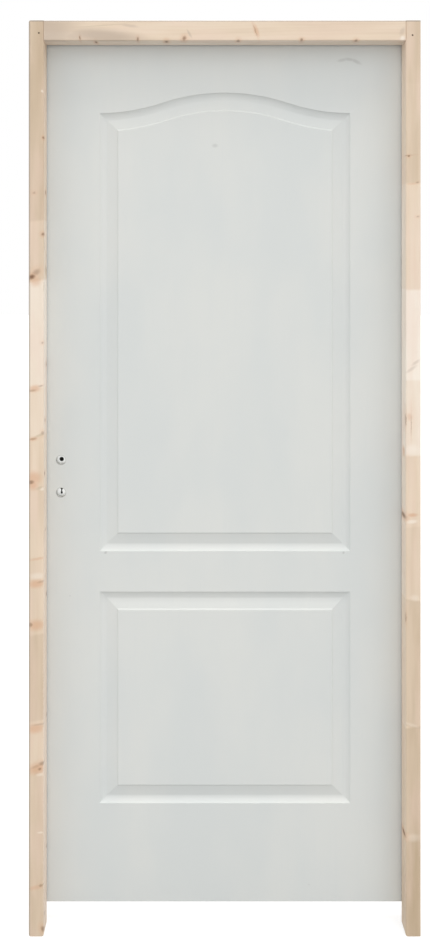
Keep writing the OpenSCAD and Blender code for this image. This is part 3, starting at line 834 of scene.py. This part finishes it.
def mark_wood(tree, wood, position, marks):
    """Lays knots with their warm halos, resin, and dull and pale patches over wood."""
    timber = bpy.context.scene.door_timber
    ragged = add_node(tree, "ShaderNodeTexNoise", {"Vector": position, "Scale": 240.0, "Detail": 2.0})
    swing = vector_calc(tree, "SUBTRACT", ragged.outputs["Color"], (0.5, 0.5, 0.5))
    place = vector_calc(tree, "ADD", position, vector_calc(tree, "MULTIPLY", swing, RAGGED_SWING))
    halo = chain_marks(tree, place, marks, "knot", *KNOT_HALO)
    warm = chain_marks(tree, place, marks, "warm")
    wood = blend(tree, calc(tree, "MAXIMUM", halo, warm), wood, timber.warm_color)
    layers = (
        ("resin", timber.resin_color), ("grey", timber.shade_color),
        ("pale", timber.pale_color), ("knot", timber.knot_color),
    )
    for kind, color in layers:
        wood = blend(tree, chain_marks(tree, place, marks, kind), wood, color)
    return wood


def pine_material(name, marks=(), blocks=(), lying=False, drilled=False, pith=(0.06, 0.11, 0.0)):
    """Bare planed pine with its grain upright, or along X where it lies."""
    timber = bpy.context.scene.door_timber
    material, tree, shader = new_material(name)
    position = object_position(tree)
    axes = split(tree, position)
    normal = split(tree, tree.nodes.new("ShaderNodeNewGeometry").outputs["Normal"])
    upright = position
    if lying:
        turned = {"X": axes["Z"], "Y": axes["Y"], "Z": axes["X"]}
        upright = add_node(tree, "ShaderNodeCombineXYZ", turned).outputs[0]
    grain = add_group(tree, shared_group("Door Pine Grain", build_grain_group), {
        "Position": upright, "Pith": pith, "Ring Gap": timber.ring_gap,
    })

    wood = blend(tree, grain["Late Wood"], timber.early_color, timber.late_color, share=0.12)
    wood = blend(tree, fade(tree, grain["Fibre"], 0.35, 0.75), wood, timber.late_color, share=0.14)
    # Painted light: the sides that look along X (along Z for lying timber) are painted paler, brightening the
    # reveals and undersides that the lights leave dim.
    painted_side_light = looks_along(tree, normal["Z" if lying else "X"])
    wood = tone_wood(tree, wood, position, grain["Drift"], painted_side_light, blocks)
    blush = noise(tree, draw_out(tree, upright, 0.22), scale=30.0, detail=3.0)
    wood = blend(tree, fade(tree, blush, 0.42, 0.68), wood, timber.blush_color, share=0.30)
    if marks:
        wood = mark_wood(tree, wood, position, marks)

    # Painted shade: a dark line down the lock jamb's wall-side edge and along the frame's top edge, where the
    # rounded arrises turn from the light.
    wall_side = fade(tree, calc(tree, "SUBTRACT", axes["X"], LOCK_WALL_X), *WALL_EDGE_SHADE)
    top_side = fade(tree, calc(tree, "SUBTRACT", FRAME_HIGH.z, axes["Z"]), *TOP_EDGE_SHADE)
    edge_shade = calc(tree, "MAXIMUM", wall_side, top_side)
    wood = blend(tree, edge_shade, wood, timber.edge_shade_color, share=0.62)
    sawn = looks_along(tree, normal["X" if lying else "Z"])
    wood = blend(tree, sawn, wood, timber.late_color, share=0.45)
    if drilled:
        wall = calc(tree, "LESS_THAN", from_drillings(tree, position), DRILLING_RADIUS + 0.0001)
        wood = blend(tree, wall, wood, bpy.context.scene.door_paint.cool_color, share=0.85)

    tree.links.new(wood, shader["Base Color"])
    rough = calc(tree, "MULTIPLY_ADD", sawn, SAWN_ROUGHER, timber.roughness)
    rough = calc(tree, "MULTIPLY_ADD", grain["Late Wood"], LATE_WOOD_ROUGHER, rough)
    tree.links.new(rough, shader["Roughness"])
    shader["Specular IOR Level"].default_value = 0.35
    tree.links.new(add_bump(tree, grain["Relief"], distance=0.00012, strength=0.6), shader["Normal"])
    return material


def primer_material(name):
    """Factory primer on a pressed fibreboard skin, which shows raw where it is cut."""
    paint = bpy.context.scene.door_paint
    material, tree, shader = new_material(name)
    position = object_position(tree)
    axes = split(tree, position)

    cloud = noise(tree, draw_out(tree, position, 0.45), scale=5.0, detail=3.0)
    coat = blend(tree, fade(tree, cloud, 0.35, 0.65), paint.primer_color, paint.cool_color)
    streaks = noise(tree, draw_out(tree, position, 0.03), scale=160.0)
    coat = blend(tree, fade(tree, streaks, 0.5, 0.8), coat, paint.cool_color, share=0.25)
    smudge = chain_marks(tree, position, LEAF_MARKS, "smudge")
    speck = chain_marks(tree, position, LEAF_MARKS, "speck")
    coat = blend(tree, calc(tree, "MAXIMUM", smudge, speck), coat, paint.smudge_color)
    rim = fade(tree, from_drillings(tree, position), DRILLING_RADIUS + RIM_WIDTH, DRILLING_RADIUS)
    coat = blend(tree, rim, coat, paint.rim_color)

    cut = 0.0
    for axis, edges in (("X", (LEAF_LOW.x, LEAF_HIGH.x)), ("Z", (LEAF_LOW.z, LEAF_HIGH.z))):
        for edge in edges:
            near = calc(tree, "COMPARE", axes[axis], edge, CUT_NEARNESS)
            cut = calc(tree, "MAXIMUM", near, cut)
    board = noise(tree, position, scale=1400.0)
    raw = blend(tree, board, paint.board_color, shaded(paint.board_color, 0.7))
    tree.links.new(blend(tree, cut, coat, raw), shader["Base Color"])
    tree.links.new(calc(tree, "MULTIPLY_ADD", cut, CUT_ROUGHER, paint.roughness), shader["Roughness"])
    shader["Specular IOR Level"].default_value = 0.4
    peel = noise(tree, position, scale=1.0 / paint.peel_size)
    tree.links.new(add_bump(tree, peel, distance=0.00006, strength=0.5), shader["Normal"])
    return material


def steel_material(name, color, roughness, stretch=(1.0, 1.0, 0.05), hole_shaded=False):
    """Plated steel with fine scratches, and, where asked, near-black painted shade about the middle of the
    drillings, which makes the square hole look dark.
    """
    material, tree, shader = new_material(name)
    position = object_position(tree)
    brushed = add_group(tree, shared_group("Door Brushed Steel", build_brushed_group), {
        "Position": position, "Stretch": stretch, "Roughness": roughness,
    })
    steel = blend(tree, brushed["Dulling"], color, shaded(color, 0.82), share=0.6)
    shader["Metallic"].default_value = 1.0
    if hole_shaded:
        # Painted shade: near black and not metallic round the square hole, so that the hole looks dark and
        # wide.
        hole_shade = fade(tree, from_drillings(tree, position), *HOLE_SHADE_EDGE)
        steel = blend(tree, hole_shade, steel, bpy.context.scene.door_metal.shade_plug_color)
        tree.links.new(calc(tree, "SUBTRACT", 1.0, hole_shade), shader["Metallic"])
    tree.links.new(steel, shader["Base Color"])
    tree.links.new(brushed["Roughness"], shader["Roughness"])
    tree.links.new(add_bump(tree, brushed["Relief"], distance=0.00002, strength=0.4), shader["Normal"])
    return material


def shade_plug_material(name):
    """Near-black painted shade with fine pores, for the plugs that make the lock's holes look dark."""
    plug_shade = bpy.context.scene.door_metal.shade_plug_color
    material, tree, shader = new_material(name)
    pores = noise(tree, object_position(tree), scale=2600.0)
    color = blend(tree, fade(tree, pores, 0.4, 0.7), plug_shade, shaded(plug_shade, 2.2))
    tree.links.new(color, shader["Base Color"])
    shader["Roughness"].default_value = 1.0
    shader["Specular IOR Level"].default_value = 0.1
    tree.links.new(add_bump(tree, pores, distance=0.0002), shader["Normal"])
    return material


def honeycomb_material(name):
    """Brown paper cells, seen end on from the leaf's faces, with the inside of each cell painted dark as
    painted shade.
    """
    material, tree, shader = new_material(name)
    position = object_position(tree)
    flat = vector_calc(tree, "MULTIPLY", position, (1.0, 0.0, 1.0))
    cells = add_node(
        tree, "ShaderNodeTexVoronoi", {"Vector": flat, "Scale": 55.0, "Randomness": 0.25},
        feature="DISTANCE_TO_EDGE",
    ).outputs["Distance"]
    wall = fade(tree, cells, 0.09, 0.05)
    fleck = noise(tree, position, scale=500.0, detail=3.0)
    # Painted shade: the inside of each cell is painted near black-brown, for the shade deep in the cells.
    cell_shade, brown, light_brown = (0.16, 0.10, 0.06), (0.42, 0.29, 0.17), (0.54, 0.39, 0.24)
    paper = blend(tree, fleck, brown, light_brown)
    tree.links.new(blend(tree, wall, cell_shade, paper), shader["Base Color"])
    shader["Roughness"].default_value = 0.9
    tree.links.new(add_bump(tree, wall, distance=0.0006), shader["Normal"])
    return material


def dress_nodes(nodes, material):
    """Puts a material on CAD nodes, in their own slots."""
    for node in nodes:
        piece = FRAME["nodes"][node]
        if not piece.material_slots:
            piece.data.materials.append(material)
        for slot in piece.material_slots:
            slot.material = material


def link_object(name, data):
    """A new object in the scene, at the origin."""
    thing = bpy.data.objects.new(name, data)
    bpy.context.scene.collection.objects.link(thing)
    return thing


def add_piece(name, shape, material, body):
    """Makes an object of a bmesh, in the door's frame, and lets it move with a body."""
    if not shape.faces:
        raise RuntimeError(f"{name} came out empty")
    mesh = bpy.data.meshes.new(name)
    shape.to_mesh(mesh)
    shape.free()
    mesh.materials.append(material)
    piece = link_object(name, mesh)
    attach(piece, body)
    return piece


def cross_head(diameter, sunk):
    """A countersunk screw's head with a cross recess, its face at z = -sunk and its axis along Z."""
    shape = bmesh.new()
    cell = diameter * 0.11
    recess = diameter * 0.22
    collar = 0.0008
    bmesh.ops.create_grid(shape, x_segments=5, y_segments=5, size=cell * 2.5)
    grid_rim = [edge for edge in shape.edges if edge.is_boundary]
    cross = []
    for face in shape.faces:
        middle = face.calc_center_median()
        near, far = sorted((abs(middle.x), abs(middle.y)))
        if near < cell / 2 and far < cell * 1.5:
            cross.append(face)
    bmesh.ops.create_circle(shape, segments=len(grid_rim), radius=diameter / 2)
    ring = [edge for edge in shape.edges if edge.is_wire]
    bmesh.ops.bridge_loops(shape, edges=grid_rim + ring)

    pushed = bmesh.ops.extrude_face_region(shape, geom=cross)["geom"]
    floor = [part for part in pushed if isinstance(part, bmesh.types.BMVert)]
    bmesh.ops.delete(shape, geom=[face for face in cross if face.is_valid], context="FACES_ONLY")
    bmesh.ops.translate(shape, verts=floor, vec=(0.0, 0.0, -recess))
    bmesh.ops.scale(shape, verts=floor, vec=(0.75, 0.75, 1.0))

    outer_rim = [edge for edge in shape.edges if edge.is_boundary]
    side = bmesh.ops.extrude_edge_only(shape, edges=outer_rim)["geom"]
    foot = [part for part in side if isinstance(part, bmesh.types.BMVert)]
    bmesh.ops.translate(shape, verts=foot, vec=(0.0, 0.0, -collar))
    bmesh.ops.scale(shape, verts=foot, vec=(0.80, 0.80, 1.0))
    bmesh.ops.contextual_create(shape, geom=[edge for edge in shape.edges if edge.is_boundary])
    bmesh.ops.translate(shape, verts=shape.verts, vec=(0.0, 0.0, -sunk))
    bmesh.ops.recalc_face_normals(shape, faces=shape.faces)
    return shape


def brad_head(diameter):
    """A brad's head, sunk a little in the crater that it left, facing +Z."""
    shape = bmesh.new()
    crater_width = diameter * 0.16
    crater_depth = 0.00012
    bmesh.ops.create_circle(shape, cap_ends=True, segments=20, radius=diameter / 2)
    crater = bmesh.ops.inset_region(shape, faces=shape.faces[:], thickness=crater_width)["faces"]
    for face in shape.faces:
        if face not in crater:
            bmesh.ops.translate(shape, verts=face.verts[:], vec=(0.0, 0.0, -crater_depth))
    return shape


def scatter(pattern, places):
    """One bmesh that holds a copy of the pattern at each matrix."""
    whole = bmesh.new()
    mesh = bpy.data.meshes.new("door_pattern")
    pattern.to_mesh(mesh)
    pattern.free()
    for place in places:
        start = len(whole.verts)
        whole.from_mesh(mesh)
        whole.verts.ensure_lookup_table()
        bmesh.ops.transform(whole, matrix=place, verts=whole.verts[start:])
    bpy.data.meshes.remove(mesh)
    return whole


def stand_at(place, direction):
    """A matrix that moves the origin to a place and turns +Z to a direction."""
    return Matrix.Translation(place) @ Vector(direction).to_track_quat("Z", "Y").to_matrix().to_4x4()


def add_box(shape, low, high):
    """Adds a box between two corners to a bmesh."""
    middle = (Vector(low) + Vector(high)) / 2
    size = Vector(high) - Vector(low)
    matrix = Matrix.Translation(middle) @ Matrix.Diagonal(size).to_4x4()
    bmesh.ops.create_cube(shape, size=1.0, matrix=matrix)


def plate_face_x(hinge, body):
    """The face of a hinge plate that looks across the gap: the leaf's edge, or its mirror past the pin."""
    if body == "leaf":
        return LEAF_HIGH.x
    low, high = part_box(f"hinge_{hinge}_pin")
    return low.x + high.x - LEAF_HIGH.x


def hinge_screw_places(hinge, body, fixing):
    """Where the screws of one hinge plate sit: the outer two far from the pin, the inner two near it."""
    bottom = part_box(f"hinge_{hinge}_frame")[0].z + fixing.hinge_screw_end
    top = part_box(f"hinge_{hinge}_leaf")[1].z - fixing.hinge_screw_end
    face_x = plate_face_x(hinge, body)
    outward = (1, 0, 0) if body == "leaf" else (-1, 0, 0)
    insets = (
        fixing.hinge_screw_far, fixing.hinge_screw_near, fixing.hinge_screw_near, fixing.hinge_screw_far,
    )
    for step, inset in enumerate(insets):
        height = bottom + (top - bottom) * step / 3
        yield stand_at((face_x, LEAF_HIGH.y - inset, height), outward)


class DOOR_OT_set_view(bpy.types.Operator):
    """Put the camera where the door is looked at from"""

    bl_idname = "door.set_view"
    bl_label = "Set View"

    def execute(self, context):
        view = context.scene.door_view
        camera = bpy.data.cameras.new("Door Camera")
        camera.sensor_width = 36.0
        camera.lens = view.lens
        camera.shift_x = view.shift_x
        camera.shift_y = view.shift_y
        holder = link_object("Door Camera", camera)
        holder.location = (view.across, -view.distance, view.height)
        holder.rotation_euler = (math.radians(90), 0.0, 0.0)
        context.scene.camera = holder
        return {"FINISHED"}


class DOOR_OT_plane_frame(bpy.types.Operator):
    """Give the jambs and the head their bare pine"""

    bl_idname = "door.plane_frame"
    bl_label = "Plane the Frame"

    def execute(self, context):
        lock = pine_material("Lock Jamb Pine", LOCK_JAMB_MARKS, LOCK_JAMB_BLOCKS, pith=(-0.86, 0.14, 0.0))
        hinge = pine_material("Hinge Jamb Pine", HINGE_JAMB_MARKS, HINGE_JAMB_BLOCKS, pith=(0.02, 0.16, 0.0))
        head = pine_material("Head Pine", HEAD_MARKS, lying=True, pith=(2.04, 0.12, 0.0))
        dress_nodes(["lock_jamb"], lock)
        dress_nodes(["hinge_jamb"], hinge)
        dress_nodes(["head"], head)
        return {"FINISHED"}


class DOOR_OT_prime_skins(bpy.types.Operator):
    """Prime the leaf's moulded skins"""

    bl_idname = "door.prime_skins"
    bl_label = "Prime the Skins"

    def execute(self, context):
        dress_nodes(["front_skin", "back_skin"], primer_material("White Primer"))
        return {"FINISHED"}


class DOOR_OT_fill_leaf(bpy.types.Operator):
    """Give the leaf's stiles, rails, lock block and core their finish"""

    bl_idname = "door.fill_leaf"
    bl_label = "Fill the Leaf"

    def execute(self, context):
        upright = pine_material("Stile Pine", drilled=True, pith=(-0.4, 0.16, 0.0))
        dress_nodes(["lock_stile", "hinge_stile", "lock_block"], upright)
        lying = pine_material("Rail Pine", lying=True, pith=(0.1, 0.13, 0.0))
        dress_nodes(["top_rail", "bottom_rail"], lying)
        dress_nodes(["core"], honeycomb_material("Paper Honeycomb"))
        return {"FINISHED"}


class DOOR_OT_plate_metal(bpy.types.Operator):
    """Plate the lock, the strike plate and the hinges"""

    bl_idname = "door.plate_metal"
    bl_label = "Plate the Metal"

    def execute(self, context):
        metal = context.scene.door_metal
        bright = steel_material("Bright Plated Steel", metal.plated_color, metal.plated_roughness)
        dress_nodes(["strike_plate", "faceplate", "latch_bolt", "dead_bolt"], bright)
        case_look = (metal.case_color, metal.case_roughness, (1.0, 1.0, 1.0))
        dress_nodes(["lock_case"], steel_material("Lock Housing Steel", *case_look))
        # The follower gets near-black painted shade round its square hole.
        dress_nodes(["follower"], steel_material("Follower Steel With Painted Shade", *case_look, hole_shaded=True))
        hinge = steel_material("Hinge Steel", metal.hinge_color, metal.plated_roughness)
        dress_nodes([f"hinge_{number}_{body}" for number in HINGES for body in ("frame", "leaf")], hinge)
        pin = steel_material("Hinge Pin Steel", metal.plated_color, metal.plated_roughness, (1.0, 1.0, 8.0))
        dress_nodes([f"hinge_{number}_pin" for number in HINGES], pin)
        return {"FINISHED"}


class DOOR_OT_add_hinge_screws(bpy.types.Operator):
    """Add the screws of the hinge plates"""

    bl_idname = "door.add_hinge_screws"
    bl_label = "Add Hinge Screws"

    def execute(self, context):
        fixing = context.scene.door_fixing
        metal = context.scene.door_metal
        steel = steel_material("Hinge Screw Steel", metal.plated_color, metal.plated_roughness)
        for body in ("frame", "leaf"):
            places = [place for number in HINGES for place in hinge_screw_places(number, body, fixing)]
            heads = scatter(cross_head(fixing.screw, fixing.screw_sunk), places)
            add_piece(f"hinge_screws_{body}", heads, steel, body)
        return {"FINISHED"}


class DOOR_OT_add_lock_screws(bpy.types.Operator):
    """Add the screws of the faceplate and of the strike plate"""

    bl_idname = "door.add_lock_screws"
    bl_label = "Add Lock Screws"

    def execute(self, context):
        fixing = context.scene.door_fixing
        metal = context.scene.door_metal
        steel = steel_material("Lock Screw Steel", metal.plated_color, metal.plated_roughness)
        plates = (
            ("faceplate", "leaf", -1, fixing.faceplate_screw_end),
            ("strike_plate", "frame", 1, fixing.strike_screw_end),
        )
        for node, body, side, end in plates:
            low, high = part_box(node)
            face_x = low.x if side < 0 else high.x
            middle_y = (low.y + high.y) / 2
            heights = (low.z + end, high.z - end)
            places = [stand_at((face_x, middle_y, height), (side, 0, 0)) for height in heights]
            heads = scatter(cross_head(fixing.screw, fixing.screw_sunk), places)
            add_piece(f"{node}_screws", heads, steel, body)
        return {"FINISHED"}


class DOOR_OT_add_brads(bpy.types.Operator):
    """Add the brads that hold the jambs to the head"""

    bl_idname = "door.add_brads"
    bl_label = "Add Brads"

    def execute(self, context):
        steel = steel_material("Brad Steel", context.scene.door_metal.nail_color, roughness=0.6)
        places = [stand_at((x, PUSH_Y - BRAD_PROUD, z), (0, -1, 0)) for x, z in BRAD_SPOTS]
        heads = scatter(brad_head(context.scene.door_fixing.brad), places)
        add_piece("brads", heads, steel, "frame")
        return {"FINISHED"}


class DOOR_OT_add_plugs(bpy.types.Operator):
    """Put near-black plugs into the spindle hole and the keyhole, as painted shade that makes the holes look
    dark
    """

    bl_idname = "door.add_plugs"
    bl_label = "Add Plugs"

    def execute(self, context):
        fixing = context.scene.door_fixing
        handle, key = sorted(DRILLINGS, key=lambda place: -place.z)
        case_low, case_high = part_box("lock_case")
        front = case_low.y + fixing.plug_sunk
        back = case_high.y - fixing.plug_sunk

        shape = bmesh.new()
        half = fixing.spindle_hole / 2
        add_box(shape, (handle.x - half, front, handle.z - half), (handle.x + half, back, handle.z + half))
        head_z = key.z + fixing.key_rise
        foot_z = head_z - fixing.key_length
        turn = Matrix.Rotation(math.radians(90), 4, "X")
        bmesh.ops.create_cone(
            shape, cap_ends=True, segments=24, radius1=fixing.key_head / 2, radius2=fixing.key_head / 2,
            depth=back - front, matrix=Matrix.Translation((key.x, (front + back) / 2, head_z)) @ turn,
        )
        for width, top_z in ((fixing.key_waist, head_z), (fixing.key_foot, foot_z + fixing.key_foot_height)):
            add_box(shape, (key.x - width / 2, front, foot_z), (key.x + width / 2, back, top_z))
        # The plugs are painted shade: dark pieces set in the holes so that they look dark and deep.
        add_piece("lock_shade_plugs", shape, shade_plug_material("Painted Shade Plug"), "leaf")
        return {"FINISHED"}


class DOOR_OT_set_stage(bpy.types.Operator):
    """Lay the floor and hang the lights"""

    bl_idname = "door.set_stage"
    bl_label = "Set Stage"

    def execute(self, context):
        stage = context.scene.door_stage
        self.lay_floor(stage)
        self.light_sky(context, stage)
        for side, turn in (("Push", 0.0), ("Pull", math.radians(180))):
            suns = (
                ("Top", stage.top_turn, stage.top_height, stage.top_strength, stage.top_softness),
                ("Right", stage.side_turn, stage.side_height, stage.right_strength, stage.side_softness),
                ("Left", -stage.side_turn, stage.side_height, stage.left_strength, stage.side_softness),
            )
            for place, aside, height, strength, softness in suns:
                source = self.direction(turn + aside, height)
                self.hang_sun(f"{side} {place} Light", source, strength, softness, stage.lamp_color)
            self.hang_lamp(f"{side} Lamp", turn, stage)
        context.scene.view_settings.view_transform = "Standard"
        return {"FINISHED"}

    @staticmethod
    def seen_rays(tree):
        """1 for what the camera sees itself, or in metal or glass, and 0 for what lights the door."""
        path = tree.nodes.new("ShaderNodeLightPath").outputs
        seen = calc(tree, "MAXIMUM", path["Is Camera Ray"], path["Is Glossy Ray"])
        return calc(tree, "MAXIMUM", seen, path["Is Transmission Ray"])

    def lay_floor(self, stage):
        shape = bmesh.new()
        bmesh.ops.create_grid(shape, x_segments=4, y_segments=4, size=stage.floor_size / 2)
        mesh = bpy.data.meshes.new("Floor")
        shape.to_mesh(mesh)
        shape.free()
        material = bpy.data.materials.new("Pale Floor")
        material.use_nodes = True
        tree = material.node_tree
        tree.nodes.clear()
        lift_strength = calc(tree, "MULTIPLY", self.seen_rays(tree), stage.floor_lift)
        matt = add_node(tree, "ShaderNodeBsdfDiffuse", {"Color": as_color(stage.floor_color)})
        lift = add_node(tree, "ShaderNodeEmission", {"Strength": lift_strength})
        both = add_node(tree, "ShaderNodeAddShader", {0: matt.outputs[0], 1: lift.outputs[0]})
        add_node(tree, "ShaderNodeOutputMaterial", {"Surface": both.outputs[0]})
        mesh.materials.append(material)
        link_object("Floor", mesh)

    def light_sky(self, context, stage):
        world = bpy.data.worlds.new("Soft Daylight")
        context.scene.world = world
        world.use_nodes = True
        tree = world.node_tree
        tree.nodes.clear()
        seen = self.seen_rays(tree)
        strength = calc(tree, "MULTIPLY_ADD", seen, 1.0 - stage.sky_strength, stage.sky_strength)
        tint = blend(tree, seen, stage.sky_color, (1.0, 1.0, 1.0))
        sky = add_node(tree, "ShaderNodeBackground", {"Color": tint, "Strength": strength})
        add_node(tree, "ShaderNodeOutputWorld", {"Surface": sky.outputs[0]})

    @staticmethod
    def direction(turn, height):
        """The way to a light that stands at a turn from the push side and a height over the horizon."""
        level = math.cos(height)
        return Vector((level * math.sin(turn), -level * math.cos(turn), math.sin(height)))

    @staticmethod
    def hang_sun(name, source, strength, softness, color):
        sun = bpy.data.lights.new(name, "SUN")
        sun.color = color
        sun.energy = strength
        sun.angle = softness
        link_object(name, sun).rotation_euler = (-source).to_track_quat("-Z", "Y").to_euler()

    def hang_lamp(self, name, turn, stage):
        lamp = bpy.data.lights.new(name, "AREA")
        lamp.shape = "DISK"
        lamp.color = stage.lamp_color
        lamp.size = stage.lamp_size
        lamp.energy = stage.lamp_power
        middle = (FRAME_LOW + FRAME_HIGH) / 2
        holder = link_object(name, lamp)
        holder.location = middle + stage.lamp_distance * self.direction(turn, 0.0)
        holder.location.z = stage.lamp_height
        holder.rotation_euler = (middle - holder.location).to_track_quat("-Z", "Y").to_euler()


class DOOR_PT_looks(bpy.types.Panel):
    """The door's steps and settings"""

    bl_label = "Prehung Door"
    bl_idname = "DOOR_PT_looks"
    bl_space_type = "VIEW_3D"
    bl_region_type = "UI"
    bl_category = "Door"

    def draw(self, context):
        layout = self.layout
        for operator in OPERATORS:
            layout.operator(operator.bl_idname)
        for name, group in SETTINGS.items():
            box = layout.box()
            box.label(text=group.__doc__)
            for setting in group.__annotations__:
                box.prop(getattr(context.scene, name), setting)


SETTINGS = {
    "door_view": DoorViewSettings,
    "door_timber": DoorTimberSettings,
    "door_paint": DoorPaintSettings,
    "door_metal": DoorMetalSettings,
    "door_fixing": DoorFixingSettings,
    "door_stage": DoorStageSettings,
}
OPERATORS = (
    DOOR_OT_set_view,
    DOOR_OT_plane_frame,
    DOOR_OT_prime_skins,
    DOOR_OT_fill_leaf,
    DOOR_OT_plate_metal,
    DOOR_OT_add_hinge_screws,
    DOOR_OT_add_lock_screws,
    DOOR_OT_add_brads,
    DOOR_OT_add_plugs,
    DOOR_OT_set_stage,
)


def register():
    for name, group in SETTINGS.items():
        bpy.utils.register_class(group)
        setattr(bpy.types.Scene, name, bpy.props.PointerProperty(type=group))
    for operator in OPERATORS:
        bpy.utils.register_class(operator)
    bpy.utils.register_class(DOOR_PT_looks)


def unregister():
    bpy.utils.unregister_class(DOOR_PT_looks)
    for operator in reversed(OPERATORS):
        bpy.utils.unregister_class(operator)
    for name, group in reversed(SETTINGS.items()):
        delattr(bpy.types.Scene, name)
        bpy.utils.unregister_class(group)


def main():
    register()
    bpy.ops.door.set_view()
    bpy.ops.door.plane_frame()
    bpy.ops.door.prime_skins()
    bpy.ops.door.fill_leaf()
    bpy.ops.door.plate_metal()
    bpy.ops.door.add_hinge_screws()
    bpy.ops.door.add_lock_screws()
    bpy.ops.door.add_brads()
    bpy.ops.door.add_plugs()
    bpy.ops.door.set_stage()


if __name__ == "__main__":
    main()
